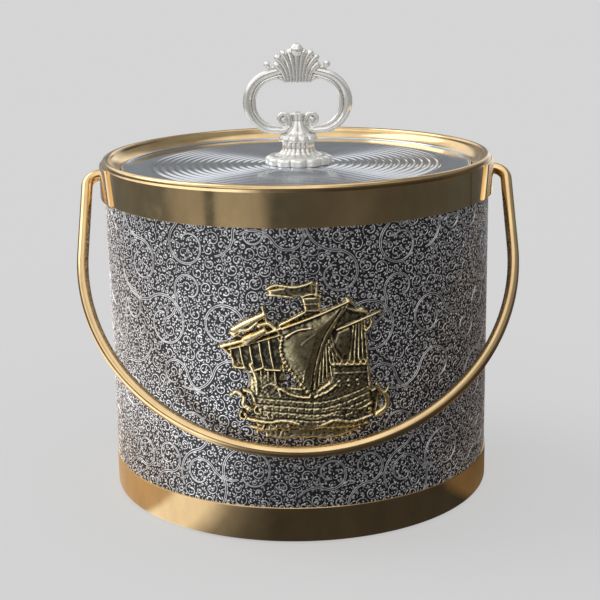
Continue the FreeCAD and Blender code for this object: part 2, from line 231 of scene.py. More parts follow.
black_vinyl = worked_finish(
    "black_vinyl", (0.016, 0.015, 0.019), (0.010, 0.009, 0.012), 0, (0.34, 0.5), 18, 0.5, 0.02
)
cover_outline = [
    (WALL_R - SHEET_T, COVER_LOW - UNDER_BAND),
    (WALL_R, COVER_LOW - UNDER_BAND),
    (WALL_R, COVER_HIGH + UNDER_BAND),
    (WALL_R - SHEET_T, COVER_HIGH + UNDER_BAND),
]
covering = lathe("covering", cover_outline, black_vinyl)
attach(covering, "bucket")
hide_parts("brocade_wrap")

lap_section = [
    (-6, WALL_R - 0.05),
    (-6, WALL_R + 0.02),
    (5.6, WALL_R + 0.10),
    (6, WALL_R + 0.07),
    (6, WALL_R - 0.05),
]
covering_lap = strip_up_wall(
    "covering_lap", lap_section, COVER_LOW - 0.1, COVER_HIGH + 0.1, math.pi, black_vinyl
)
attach(covering_lap, "bucket")

# ---- Silver vine scroll on the covering ---------------------------------------------------
# The vinyl is printed with raised silver ink: double-lined vine stems that coil into scrolls,
# small curls inside them, and a ground of seeds and leaves. The pattern repeats six times.

REPEATS = 6
REPEAT_W = 2 * math.pi * WALL_R / REPEATS
REPEAT_AT = 0.37        # share of a repeat by which the first one starts left of the front
INK_T = 0.12
INK_ROOT = -0.03        # the ink's underside, just inside the sheet
rng = np.random.default_rng(23)

silver_ink = worked_finish(
    "silver_ink", (0.93, 0.92, 0.94), (0.72, 0.71, 0.73), 0.85, (0.28, 0.4), 9, 0.4, 0.01
)


def across(a, b):
    """Offset from b to a on the repeat, whose left and right sides meet."""
    gap = a - b
    gap[..., 0] = (gap[..., 0] + REPEAT_W / 2) % REPEAT_W - REPEAT_W / 2
    return gap


taken = np.zeros((0, 3))        # places already inked: across, up, half width
lines = []                      # (points, half widths) of each inked line
seeds = []                      # (across, up, turn, length) of each seed
leaves = []                     # the same of each leaf


def room_at(place):
    """How far a place is from all that is inked."""
    if len(taken) == 0:
        return 99.0
    gap = across(place[None, :], taken[:, :2])
    return float(np.min(np.hypot(gap[:, 0], gap[:, 1]) - taken[:, 2]))


def ink_line(points, widths):
    """Draws a line of the given half widths, and keeps its room taken."""
    global taken
    points = np.asarray(points, float)
    widths = np.asarray(widths, float)
    lines.append((points, widths))
    taken = np.vstack([taken, np.column_stack([points, widths])])


def scroll_points(centre, radius, start, sweep, tightness, step=0.62):
    """A line that goes round a centre and winds in; tightness is the share of radius lost."""
    count = max(8, int(abs(sweep) * radius * (1 - tightness / 2) / step))
    share = np.linspace(0, 1, count)
    r = radius * (1 - tightness * share ** 1.4)
    turn = start + sweep * share
    return np.column_stack([centre[0] + r * np.cos(turn), centre[1] + r * np.sin(turn)])


def beside(points, offset):
    """The line that runs along another at a distance."""
    along = np.gradient(points, axis=0)
    along /= np.linalg.norm(along, axis=1)[:, None] + 1e-9
    return points + offset * np.column_stack([-along[:, 1], along[:, 0]])


def leaf_fan(place, heading, size, count=3, spread=0.75):
    """A spray of leaf lobes that opens from one place."""
    global taken
    if not COVER_LOW - 0.5 < place[1] < COVER_HIGH + 0.5:
        return
    for k in range(count):
        turn = heading + spread * (k - (count - 1) / 2)
        reach = size * (1 if k == count // 2 else 0.8)
        middle = place + reach * 0.68 * np.array([math.cos(turn), math.sin(turn)])
        leaves.append((middle[0], middle[1], turn, reach))
        taken = np.vstack([taken, [middle[0], middle[1], reach * 0.34]])


# Big double-lined scrolls first, then single curls in the room that is left.
big = []
for radius in [14.0] * 3 + [11.0] * 5 + [8.4] * 9:
    for attempt in range(500):
        place = np.array([rng.uniform(0, REPEAT_W), rng.uniform(COVER_LOW + 2, COVER_HIGH - 2)])
        gaps = [np.hypot(*across(place[None, :], c[None, :2])[0]) - c[2] - radius for c in big]
        if not gaps or min(gaps) > 1.2:
            big.append(np.array([place[0], place[1], radius]))
            break
for x, z, radius in big:
    hand = rng.choice([-1, 1])
    start = rng.uniform(0, 2 * math.pi)
    core = scroll_points((x, z), radius, start, hand * math.radians(rng.uniform(290, 400)), 0.66)
    tail = scroll_points(
        (x + 2.2 * radius * math.cos(start), z + 2.2 * radius * math.sin(start)),
        1.2 * radius, start + math.pi, hand * math.radians(rng.uniform(70, 110)), -0.15,
    )
    stem = np.vstack([tail[:0:-1], core])
    fade = np.interp(np.linspace(0, 1, len(stem)), [0, 0.3, 1], [0.6, 1, 0.3])
    for side in (-1, 1):
        ink_line(beside(stem, side * 0.48 * fade[:, None]), 0.17 + 0.08 * fade)
    for k in range(4, len(stem) - 6, 7):
        heading = stem[k + 1] - stem[k - 1]
        ahead = math.atan2(heading[1], heading[0])
        for edge in (-1, 1):
            if rng.random() < 0.25:
                continue
            outward = ahead + edge * rng.uniform(0.5, 1.0)
            away = ahead + edge * math.pi / 2
            root = stem[k] + 0.8 * fade[k] * np.array([math.cos(away), math.sin(away)])
            size = rng.uniform(1.6, 2.8) * (0.6 + 0.4 * fade[k])
            leaf_fan(root, outward, size, 3 if edge == hand else 2)

middles = np.array([c[:2] for c in big])
for radius, tries in ((4.4, 900), (3.2, 1900), (2.3, 3600), (1.7, 3000)):
    for attempt in range(tries):
        place = np.array([rng.uniform(0, REPEAT_W), rng.uniform(COVER_LOW - 1, COVER_HIGH + 1)])
        if room_at(place) > radius * 0.8 + 0.3:
            hand = rng.choice([-1, 1])
            sweep = rng.uniform(3.6, 6.4)
            curl = scroll_points(place, radius * 0.84, rng.uniform(0, 6.28), hand * sweep, 0.7, 0.5)
            ink_line(curl, np.linspace(0.2, 0.36, len(curl)))
            seeds.append((curl[-1][0], curl[-1][1], 0.0, 0.7))
            if radius > 2:
                leaf_fan(curl[0], math.atan2(*(curl[0] - curl[1])[::-1]), rng.uniform(1.6, 2.4))

# Then loose sprays of three leaves, and last single seeds and leaves wherever room is left.
for attempt in range(9000):
    place = np.array([rng.uniform(0, REPEAT_W), rng.uniform(COVER_LOW, COVER_HIGH)])
    heading = rng.uniform(0, 2 * math.pi)
    size = rng.uniform(1.7, 2.5)
    middle = place + 0.68 * size * np.array([math.cos(heading), math.sin(heading)])
    if room_at(middle) > 0.58 * size:
        leaf_fan(place, heading, size, 3, 0.72)

for attempt in range(36000):
    place = np.array([rng.uniform(0, REPEAT_W), rng.uniform(COVER_LOW - 0.4, COVER_HIGH + 0.4)])
    room = room_at(place)
    if room > 0.68:
        size = min(room - 0.18, rng.uniform(0.46, 0.85))
        if rng.random() < 0.6:
            gaps = across(place[None, :], middles)
            hub = int(np.argmin(np.hypot(gaps[:, 0], gaps[:, 1])))
            swirl = math.atan2(gaps[hub, 1], gaps[hub, 0]) + 1.1 + rng.uniform(-1.1, 1.1)
            leaves.append((place[0], place[1], swirl, size * 2.5))
        else:
            seeds.append((place[0], place[1], 0.0, size * 0.9))
        taken = np.vstack([taken, [place[0], place[1], size * 0.95 + 0.12]])


def on_wall(points, height):
    """Bends (across, up) places round the drum at a height above the covering."""
    turn = points[:, 0] / WALL_R
    r = WALL_R + height
    return np.column_stack([r * np.sin(turn), -r * np.cos(turn), points[:, 1]])


def stems_mesh():
    """Every inked line as a low closed ribbon with sloping sides."""
    points = []
    faces = []
    first = 0
    for line, width in lines:
        keep = (line[:, 1] > COVER_LOW - 0.8) & (line[:, 1] < COVER_HIGH + 0.8)
        runs = np.split(np.arange(len(line)), np.where(np.diff(keep.astype(int)) != 0)[0] + 1)
        for run in runs:
            if not keep[run[0]] or len(run) < 3:
                continue
            spine = line[run]
            half = width[run][:, None]
            corners = [
                on_wall(beside(spine, half), INK_ROOT),
                on_wall(beside(spine, -half), INK_ROOT),
                on_wall(beside(spine, -half * 0.55), INK_T),
                on_wall(beside(spine, half * 0.55), INK_T),
            ]
            points.append(np.stack(corners, axis=1).reshape(-1, 3))
            n = len(run)
            for j in range(n - 1):
                a = first + 4 * j
                for i in range(4):
                    k = (i + 1) % 4
                    faces.append((a + i, a + 4 + i, a + 4 + k, a + k))
            faces.append((first, first + 1, first + 2, first + 3))
            last = first + 4 * (n - 1)
            faces.append((last + 3, last + 2, last + 1, last))
            first += 4 * n
    return np.vstack(points), faces


def raised_blob(name, outline):
    """A low closed lozenge of ink for one seed or leaf, of unit size, facing +Z."""
    outline = np.asarray(outline, float)
    low = np.column_stack([outline, np.full(len(outline), INK_ROOT / INK_T)])
    high = np.column_stack([outline * 0.62, np.ones(len(outline))])
    return mesh_piece(name, np.vstack([low, high]), tube_faces(2, len(outline)), silver_ink)


def sower_tree():
    """Sets one blob on every point, turned and sized by the point's own attributes."""
    tree = bpy.data.node_groups.new("sow_ink", "GeometryNodeTree")
    face = tree.interface
    face.new_socket(name="Geometry", in_out="INPUT", socket_type="NodeSocketGeometry")
    face.new_socket(name="Blob", in_out="INPUT", socket_type="NodeSocketObject")
    face.new_socket(name="Thickness", in_out="INPUT", socket_type="NodeSocketFloat")
    face.new_socket(name="Ink", in_out="INPUT", socket_type="NodeSocketMaterial")
    face.new_socket(name="Geometry", in_out="OUTPUT", socket_type="NodeSocketGeometry")
    nodes = tree.nodes
    links = tree.links
    given = nodes.new("NodeGroupInput")
    result = nodes.new("NodeGroupOutput")
    source = nodes.new("GeometryNodeObjectInfo")
    turn = nodes.new("GeometryNodeInputNamedAttribute")
    turn.data_type = "FLOAT_VECTOR"
    turn.inputs["Name"].default_value = "facing"
    size = nodes.new("GeometryNodeInputNamedAttribute")
    size.data_type = "FLOAT"
    size.inputs["Name"].default_value = "length"
    scale = nodes.new("ShaderNodeCombineXYZ")
    place = nodes.new("GeometryNodeInstanceOnPoints")
    real = nodes.new("GeometryNodeRealizeInstances")
    paint = nodes.new("GeometryNodeSetMaterial")
    links.new(given.outputs["Blob"], source.inputs["Object"])
    links.new(given.outputs["Geometry"], place.inputs["Points"])
    links.new(source.outputs["Geometry"], place.inputs["Instance"])
    links.new(turn.outputs["Attribute"], place.inputs["Rotation"])
    links.new(size.outputs["Attribute"], scale.inputs["X"])
    links.new(size.outputs["Attribute"], scale.inputs["Y"])
    links.new(given.outputs["Thickness"], scale.inputs["Z"])
    links.new(scale.outputs["Vector"], place.inputs["Scale"])
    links.new(place.outputs["Instances"], real.inputs["Geometry"])
    links.new(real.outputs["Geometry"], paint.inputs["Geometry"])
    links.new(given.outputs["Ink"], paint.inputs["Material"])
    links.new(paint.outputs["Geometry"], result.inputs["Geometry"])
    return tree


def sow(name, places, blob, tree):
    """One repeat's seeds or leaves as a plain mesh."""
    places = np.asarray(places)
    spots = on_wall(places[:, :2], 0.0) * MM
    mesh = bpy.data.meshes.new(name)
    mesh.from_pydata(spots, [], [])
    mesh.attributes.new("facing", "FLOAT_VECTOR", "POINT")
    mesh.attributes.new("length", "FLOAT", "POINT")
    turns = []
    for x, z, turn, size in places:
        upright = Matrix.Rotation(x / WALL_R, 3, "Z") @ Matrix.Rotation(math.pi / 2, 3, "X")
        turns.extend((upright @ Matrix.Rotation(turn, 3, "Z")).to_euler())
    mesh.attributes["facing"].data.foreach_set("vector", turns)
    mesh.attributes["length"].data.foreach_set("value", places[:, 3])
    holder = placed(name, mesh)
    sower = holder.modifiers.new("sow", "NODES")
    sower.node_group = tree
    sockets = {s.name: s.identifier for s in tree.interface.items_tree if s.in_out == "INPUT"}
    sower[sockets["Blob"]] = blob
    sower[sockets["Thickness"]] = INK_T
    sower[sockets["Ink"]] = silver_ink
    ready = holder.evaluated_get(bpy.context.evaluated_depsgraph_get())
    made = bpy.data.meshes.new_from_object(ready)
    bpy.data.objects.remove(holder)
    return made


ring = np.linspace(0, 2 * math.pi, 8)[:-1]
seed_blob = raised_blob("seed_blob", [(math.cos(t), math.sin(t)) for t in ring])
leaf_outline = [
    (-0.5, 0.0), (-0.22, -0.11), (0.12, -0.21), (0.38, -0.17),
    (0.5, 0.0), (0.38, 0.17), (0.12, 0.21), (-0.22, 0.11),
]
leaf_blob = raised_blob("leaf_blob", leaf_outline)
sow_ink = sower_tree()
stem_repeat = mesh_piece("stem_repeat", *stems_mesh(), silver_ink, recalc=False)
repeats = {
    "vine_stems": stem_repeat.data,
    "vine_seeds": sow("vine_seeds", seeds, seed_blob, sow_ink),
    "vine_leaves": sow("vine_leaves", leaves, leaf_blob, sow_ink),
}
for pattern in (stem_repeat, seed_blob, leaf_blob):
    bpy.data.objects.remove(pattern)
for kind, source_mesh in repeats.items():
    for k in range(REPEATS):
        turned = source_mesh.copy()
        turned.transform(Matrix.Rotation((k - REPEAT_AT) * 2 * math.pi / REPEATS, 4, "Z"))
        turned.shade_smooth()
        turned.set_sharp_from_angle(angle=math.radians(25))
        vine = placed(f"{kind}_{k + 1}", turned)
        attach(vine, "bucket")

# ---- Bottom band --------------------------------------------------------------------------
# A strip of thin brass, polished and lacquered gold, wraps the drum's foot. Its lower edge is
# rolled under the drum as a hem that holds the base board.

BAND_R = 101.8
HEM_IN_R = 95.5


def arc(centre, radius, start, end, steps):
    """(radius, height) points along an arc about a centre; the angles are in degrees."""
    turns = np.radians(np.linspace(start, end, steps + 1))
    return [(centre[0] + radius * math.cos(t), centre[1] + radius * math.sin(t)) for t in turns]


def gold_finish(name, light, dark, polish, dulling):
    """Lacquered brass: a clear polish with cloudy old fingermarks and fine round-the-drum lines."""
    material, nodes, links, shader = new_finish(name, 1)
    stain = between(nodes, links, cloud(nodes, links, 16, 5.0, (1, 1, 0.6)), 0, dulling)
    links.new(two_tones(nodes, links, stain, light, dark), shader.inputs["Base Color"])
    haze = cloud(nodes, links, 7, 5.0)
    links.new(between(nodes, links, haze, *polish), shader.inputs["Roughness"])
    surface_grain(nodes, links, shader, cloud(nodes, links, 3.0, 3.0, (1, 1, 2.5)), 0.012)
    return material


polished_gold = gold_finish("lacquered_gold", (0.84, 0.61, 0.32), (0.60, 0.42, 0.22), (0.08, 0.2), 0.8)
bottom_outline = (
    [(WALL_R, COVER_LOW), (WALL_R + 0.45, COVER_LOW - 0.05), (BAND_R, COVER_LOW - 0.25)]
    + [(BAND_R, COVER_LOW - 0.7), (BAND_R, 10.0)]
    + arc((BAND_R - 1.4, 1.8), 1.4, 0, -90, 8)
    + [(HEM_IN_R + 0.1, 0.4), (HEM_IN_R, 0.8), (HEM_IN_R + 0.1, 1.2), (WALL_R - 0.2, 1.2), (WALL_R, 1.6)]
)
foot_band = lathe("foot_band", bottom_outline, polished_gold)
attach(foot_band, "bucket")
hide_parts("bottom_band")

# ---- Top band and rim ---------------------------------------------------------------------
# A taller strip of the same brass round the mouth. Its top edge is rolled into a bead and then
# carried inwards as a hollow cove down to the lid. The strip's ends lap on the right-hand front.

BEAD_R = 1.9
BEAD_AT = (100.3, 176.1)
BAND_TOP = 174.4


def arc_through(first, middle, last, steps):
    """(radius, height) points on the arc through three places."""
    a, b, c = (complex(*p) for p in (first, middle, last))
    w = (c - a) / (b - a)
    centre = a - (a - b) * (w - abs(w) ** 2) / (2j * w.imag)
    start, mid, end = (math.degrees(cmath.phase(place - centre)) for place in (a, b, c))
    mid += 360 * round((start - mid) / 360)
    end += 360 * round((mid - end) / 360)
    return arc((centre.real, centre.imag), abs(a - centre), start, end, steps)


cove = arc_through((98.4, 176.1), (96.3, 173.4), (93.0, 171.7), 14)
cove_back = arc_through((93.4, 171.1), (96.7, 172.9), (98.9, 174.9), 8)
top_outline = (
    [(WALL_R, COVER_HIGH), (WALL_R + 0.48, COVER_HIGH + 0.02), (BAND_R, COVER_HIGH + 0.16)]
    + [(BAND_R, COVER_HIGH + 0.6), (BAND_R, 166.0), (BAND_R, BAND_TOP - 0.6), (BAND_R, BAND_TOP)]
    + arc(BEAD_AT, BEAD_R, -38, 160, 22)
    + cove
    + arc((93.1, 171.35), 0.3, 110, 250, 4)
    + cove_back
    + [(WALL_R - 0.2, BAND_TOP), (WALL_R, BAND_TOP - 0.2)]
)
mouth_band = lathe("mouth_band", top_outline, polished_gold)
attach(mouth_band, "bucket")
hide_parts("top_band")

LAP_AT = math.radians(57.8)
band_step = [
    (-0.5, BAND_R - 0.1),
    (-0.5, BAND_R + 0.15),
    (0.0, BAND_R + 0.45),
    (0.9, BAND_R + 0.4),
    (6.5, BAND_R + 0.04),
    (6.5, BAND_R - 0.1),
]
mouth_band_lap = strip_up_wall(
    "mouth_band_lap", band_step, COVER_HIGH + 0.3, BAND_TOP - 0.1, LAP_AT, polished_gold
)
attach(mouth_band_lap, "bucket")

# ---- Ears ---------------------------------------------------------------------------------
# On each side a curved brass plate, wider at its foot, lies flat over the top band with its
# upper edge tucked under the rolled bead. An end of the bail goes through its middle.

EAR_R = 103.6
EAR_TALL = 17.4
EAR_TURN_FOOT = 23.5
EAR_TURN_TOP = 20.0
EAR_EDGE = 0.7


def ear_plate(name, side):
    """A thick curved plate with softened edges; side is 1 for the right-hand one."""
    across_steps = 60
    up_steps = 26
    inner_r = BAND_R - 0.05
    s = np.sin(np.linspace(-math.pi / 2, math.pi / 2, across_steps + 1))
    t = 0.5 + 0.5 * np.sin(np.linspace(-math.pi / 2, math.pi / 2, up_steps + 1))
    front = []
    back = []
    for v in t:
        z = COVER_HIGH + v * EAR_TALL
        half = EAR_R * math.sin(math.radians(EAR_TURN_FOOT + (EAR_TURN_TOP - EAR_TURN_FOOT) * v))
        for u in s:
            to_edge = min(half * (1 - abs(u)), v * EAR_TALL, (1 - v) * EAR_TALL)
            share = min(1.0, to_edge / EAR_EDGE)
            r = BAND_R + 0.55 + 1.25 * math.sqrt(max(0.0, 1 - (1 - share) ** 2))
            turn = math.asin(half * u / EAR_R)
            front.append((side * r * math.cos(turn), r * math.sin(turn), z))
            back.append((side * inner_r * math.cos(turn), inner_r * math.sin(turn), z))
    n = across_steps + 1
    m = up_steps + 1
    faces = []
    for j in range(up_steps):
        for i in range(across_steps):
            a = j * n + i
            faces.append((a, a + 1, a + n + 1, a + n))
            b = a + n * m
            faces.append((b, b + n, b + n + 1, b + 1))
    border = [i for i in range(n)] + [j * n + n - 1 for j in range(1, m)]
    border += [(m - 1) * n + i for i in range(n - 2, -1, -1)] + [j * n for j in range(m - 2, 0, -1)]
    for a, b in zip(border, border[1:] + border[:1]):
        faces.append((a, b, b + n * m, a + n * m))
    return mesh_piece(name, front + back, faces, polished_gold, 50)


for ear_name, side, node in (("ear_plate_right", 1, "ear_right"), ("ear_plate_left", -1, "ear_left")):
    ear = ear_plate(ear_name, side)
    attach(ear, "bucket")
    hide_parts(node)

# ---- Galleon medallion --------------------------------------------------------------------
# A thin relief casting of a galleon under sail, bent to the drum and held by two posts with
# spring caps inside. It is gilded on the heights, with dark patina left in the hollows.

SHIP_STEP = 0.33
ship_x = np.arange(-40, 45, SHIP_STEP)
ship_z = np.arange(52, 134, SHIP_STEP)
grid_x, grid_z = np.meshgrid(ship_x, ship_z)
lift = np.zeros_like(grid_x)


def to_run(start, end):
    """Each grid place's share of the way along a straight run, and its distance from the run."""
    (ax, az), (bx, bz) = start, end
    dx, dz = bx - ax, bz - az
    share = np.clip(((grid_x - ax) * dx + (grid_z - az) * dz) / (dx * dx + dz * dz), 0, 1)
    return share, np.hypot(grid_x - ax - share * dx, grid_z - az - share * dz)


def far_from(path, widths):
    """Distance of each grid place from a path as a share of the path's half width there."""
    best = np.full(grid_x.shape, 9.0)
    for start, end, wa, wb in zip(path, path[1:], widths, widths[1:]):
        share, gap = to_run(start, end)
        best = np.minimum(best, gap / (wa + share * (wb - wa)))
    return best


def spar(path, width, height, end_width=None, bed=0.0):
    """A rounded bar along a path: a yard, rope, rail, roll or wave crest."""
    global lift
    last = width if end_width is None else end_width
    widths = np.linspace(width, last, len(path))
    gap = far_from(path, widths)
    round_top = bed + (height - bed) * np.sqrt(np.clip(1 - gap ** 2, 0, 1))
    lift = np.where(gap < 1, np.maximum(lift, round_top), lift)


def inside(outline):
    """Depth inside a closed outline at each grid place, zero outside it."""
    crossings = np.zeros(grid_x.shape, int)
    near = np.full(grid_x.shape, 99.0)
    for start, end in zip(outline, outline[1:] + outline[:1]):
        near = np.minimum(near, to_run(start, end)[1])
        (ax, az), (bx, bz) = start, end
        if az != bz:
            edge_x = (bx - ax) * (grid_z - az) / (bz - az) + ax
            crossings += ((az > grid_z) != (bz > grid_z)) & (grid_x < edge_x)
    return np.where(crossings % 2 == 1, near, 0.0)


def plate(outline, height, edge=1.0, belly=0.0, belly_depth=8.0):
    """A flat or bellied area of the casting with rolled edges."""
    global lift
    depth = inside(outline)
    rolled = np.sqrt(np.clip(1 - (1 - np.clip(depth / edge, 0, 1)) ** 2, 0, 1))
    crown = np.sin(np.clip(depth / belly_depth, 0, 1) * math.pi / 2)
    lift = np.where(depth > 0, np.maximum(lift, height * rolled + belly * crown), lift)


def groove(path, width, depth):
    """A cut line in whatever is already there."""
    global lift
    gap = far_from(path, [width] * len(path))
    cut = depth * np.sqrt(np.clip(1 - gap ** 2, 0, 1))
    lift = np.where((gap < 1) & (lift > 0.6), np.maximum(lift - cut, 0.5), lift)


def bend(path, steps=8):
    """A smooth line through a few places."""
    path = np.asarray(path, float)
    padded = np.vstack([2 * path[0] - path[1], path, 2 * path[-1] - path[-2]])
    line = []
    for a, b, c, d in zip(padded, padded[1:], padded[2:], padded[3:]):
        for t in np.linspace(0, 1, steps, endpoint=False):
            spot = 2 * b + (c - a) * t + (2 * a - 5 * b + 4 * c - d) * t * t
            line.append(tuple(0.5 * (spot + (3 * b - a - 3 * c + d) * t ** 3)))
    line.append(tuple(path[-1]))
    return line


# The thin web that holds the rigging together.
plate([(5, 77), (-2, 100), (3, 119), (10, 118), (24, 122), (30, 112), (33, 91), (15, 90)], 1.1)
plate([(-36, 99), (-8, 109), (-7, 84), (-15, 84), (-22, 88), (-28, 90)], 1.0)
hull_web = [(-24, 77), (-22, 62), (-14, 55), (19, 54.5), (30, 59), (35, 66), (33, 92)]
plate(hull_web + [(15, 92), (12, 80), (-9, 81), (-12, 90), (-24, 88)], 1.3)
# The hull with its planks.
hull = [(-24, 76), (-20, 65), (-14, 60), (20, 59), (31, 61), (34, 69), (33.5, 91)]
plate(hull + [(15.5, 92), (14, 84), (4.5, 77.5), (-9, 81), (-15, 88), (-24, 86)], 2.3, 1.6, 0.5)
for drop in (0, 3.2, 6.4, 9.6):
    groove(bend([(-22, 76 - drop), (-6, 75 - drop), (12, 74 - drop), (33, 80 - drop)]), 0.42, 0.7)
for gap_x in range(-19, 32, 4):
    groove([(gap_x, 62), (gap_x + 1.2, 73)], 0.3, 0.35)
# The sterncastle: its rail, cabin panels and ports.
spar(bend([(15.3, 92.3), (24, 91.4), (32.5, 90.9)]), 0.75, 3.9, bed=2)
spar([(16.5, 87.4), (32, 86.8)], 0.45, 3.1, bed=2)
spar([(32.6, 91), (33.4, 80)], 0.7, 3.2, bed=2)
for post_x in (16.2, 19.2, 22.4, 25.6, 28.8, 31.6):
    spar([(post_x, 92.4), (post_x + 0.1, 91.4)], 0.9, 4.2, bed=2)
for port_x in (18.5, 23, 27.5):
    spar([(port_x, 83.2), (port_x + 0.2, 81.2)], 1.0, 3.5, bed=2)
    groove([(port_x, 82.6), (port_x + 0.1, 81.8)], 0.5, 1.0)
# Deck rails, gunwale and forecastle.
for bead_x, bead_z in ((7.0, 76.2), (9.6, 77.2), (12.0, 78.2), (14.2, 79.6), (16.2, 81.2)):
    spar([(bead_x, bead_z), (bead_x + 1.0, bead_z + 0.6)], 0.95, 4.0, bed=2)
spar(bend([(-9.2, 80.6), (-5, 77.9), (0, 76.5), (4.6, 76.2)]), 0.75, 3.9, bed=2)
spar([(-16.3, 90.0), (-9.3, 89.7)], 0.7, 3.5, bed=1)
spar([(-24, 88.4), (-18, 90.6)], 0.8, 3.3, bed=1)
for rail_x in (-22, -18.6, -15.2, -12):
    spar([(rail_x, 89.5), (rail_x + 0.4, 81)], 0.6, 2.9, bed=1)
spar(bend([(-23.5, 92), (-21, 86), (-20.5, 78)]), 1.3, 3.3, bed=1)
# The mainsail, bellied by the wind, its leech bound with a scalloped edge.
mainsail = [(-8.8, 110.4), (8, 116.5), (23.6, 122), (17.5, 110.5), (12, 101), (8.2, 88)]
plate(mainsail + [(4.9, 76.6), (-1.4, 84), (-6.6, 92), (-9.3, 100)], 2.4, 1.2, 1.9, 8)
for k, place in enumerate(bend([(-8.4, 106), (-9.2, 99), (-6.4, 91.6), (-1.2, 84.2), (4.6, 77.2)], 4)):
    spar([place, (place[0] + 0.3, place[1] + 0.2)], 1.05 if k % 2 else 0.7, 3.7, bed=2)
spar(bend([(-6.4, 106.4), (-1, 109.6), (5.6, 110.6)]), 0.7, 4.7, 0.35, bed=3)
spar(bend([(1.2, 102.8), (4, 105.2), (8, 108)]), 0.6, 4.7, 0.35, bed=3)
spar(bend([(8, 110), (5.6, 100), (2.6, 90), (1.4, 84)]), 0.5, 4.4, 0.3, bed=3)
groove(bend([(20, 119), (11.5, 106), (7.2, 92), (5.2, 80)]), 0.5, 0.8)
# The yards.
spar([(-37.6, 100.2), (-22, 105.6), (-7.6, 110.8)], 1.1, 3.8, 0.85, bed=1)
spar([(-34, 99), (-20, 103.4), (-8, 107.4)], 0.6, 2.8, bed=1)
spar([(-9.2, 112.0), (2.8, 118.3)], 1.0, 3.9, 0.8, bed=1)
spar([(-7.6, 110.7), (9, 116.7), (23.8, 122.8)], 0.95, 4.4, 0.7, bed=2)
spar([(17.8, 108.9), (28, 112.4), (38.4, 116.0)], 0.8, 3.3, 0.6, bed=1)
spar([(22.5, 123.6), (25.4, 121.2)], 1.0, 3.2, bed=1)
# Furled and filling sails of the foremast.
spar(bend([(-31, 107.6), (-25, 112.0), (-16.6, 116.8)]), 2.6, 3.6, 1.5, bed=1)
spar(bend([(-28, 109.0), (-24, 109.6), (-20, 113)]), 1.2, 4.2, 0.7, bed=2)
spar(bend([(-25, 103.8), (-20.5, 106.6), (-16.8, 109.0)]), 3.0, 4.0, 1.8, bed=1)
spar(bend([(-19, 111.4), (-14.6, 112.2), (-9.4, 108.6)]), 1.5, 2.8, 0.9, bed=1)
spar([(-17.2, 120.2), (-15.6, 114)], 0.7, 2.3, bed=0.8)
for fold in range(6):
    top_x = -33 + fold * 4.6
    crease_line = bend([(top_x, 99.6 + fold * 1.5), (top_x + 0.8, 94 + fold), (top_x + 2.4, 88.6)])
    spar(crease_line, 0.75, 2.4, 0.45, bed=0.8)
spar(bend([(-36.8, 99.6), (-32, 94.4), (-31.4, 90.6), (-26, 90.2)]), 0.7, 2.9, bed=0.8)
# The masthead: crow's nest and pennant.
spar([(8.6, 131.6), (7.8, 117)], 0.75, 2.2, bed=0.8)
plate([(1.1, 125.4), (10.6, 125.4), (9.8, 118.4), (2.6, 118.4)], 2.3, 0.8)
spar(bend([(1.2, 125.4), (5.8, 126.6), (10.6, 125.4)]), 0.55, 3.1, bed=1)
spar([(2.2, 121.8), (10.2, 121.8)], 0.4, 2.8, bed=1)
spar([(2.8, 118.6), (9.8, 118.6)], 0.45, 2.8, bed=1)
pennant = [(-14.8, 128.8), (-8, 129.9), (0, 129.6), (6.3, 131.9)]
plate(pennant + [(7.0, 124.9), (2, 126), (-5, 124.9), (-13.5, 126)], 1.5, 0.8)
spar(bend([(-15.2, 129.0), (-10.6, 130.9), (-3, 130.0), (2.4, 130.8), (6.4, 132.3)]), 0.65, 2.3, bed=1)
spar(bend([(-15, 126.2), (-9.6, 125.7), (-3, 124.9)]), 0.5, 2.0, bed=0.8)
# The mizzen sail and its ropes.
plate([(16.6, 110), (21, 121), (25, 118.4), (30.4, 118.8), (33.4, 114.6), (26, 111.6)], 1.8, 1.0, 0.4, 4)
spar(bend([(16.2, 112.6), (21, 117.6), (23.6, 121.6)]), 0.6, 2.9, bed=1)
spar(bend([(22, 119.4), (27, 117.4), (32, 116.4)]), 0.7, 2.9, bed=1)
spar(bend([(33.8, 113.6), (34.4, 110.4), (32, 107)]), 0.7, 2.4, bed=0.8)
plate([(17.8, 108), (24, 110.2), (25.6, 104), (23.8, 96), (18.2, 94.6), (15, 99)], 1.8, 1.2, 0.5, 5)
for rope in range(5):
    spar([(26 + rope * 1.2, 111.4 + rope * 0.3), (23.8 + rope * 2.2, 92.6)], 0.4, 2.2, bed=0.9)
# Shrouds of the mainmast.
for rope in range(7):
    foot_x = 6.6 + rope * 2.1
    foot_z = 79.6 + rope * 1.6
    spar([(10.4 + rope * 0.75, 103 + rope * 0.6), (foot_x, foot_z)], 0.42, 2.6, bed=0.9)
spar([(13.6, 104), (21, 91.8)], 0.6, 3.0, bed=1)
spar([(12.4, 103.5), (18.4, 92.4)], 0.5, 2.8, bed=1)
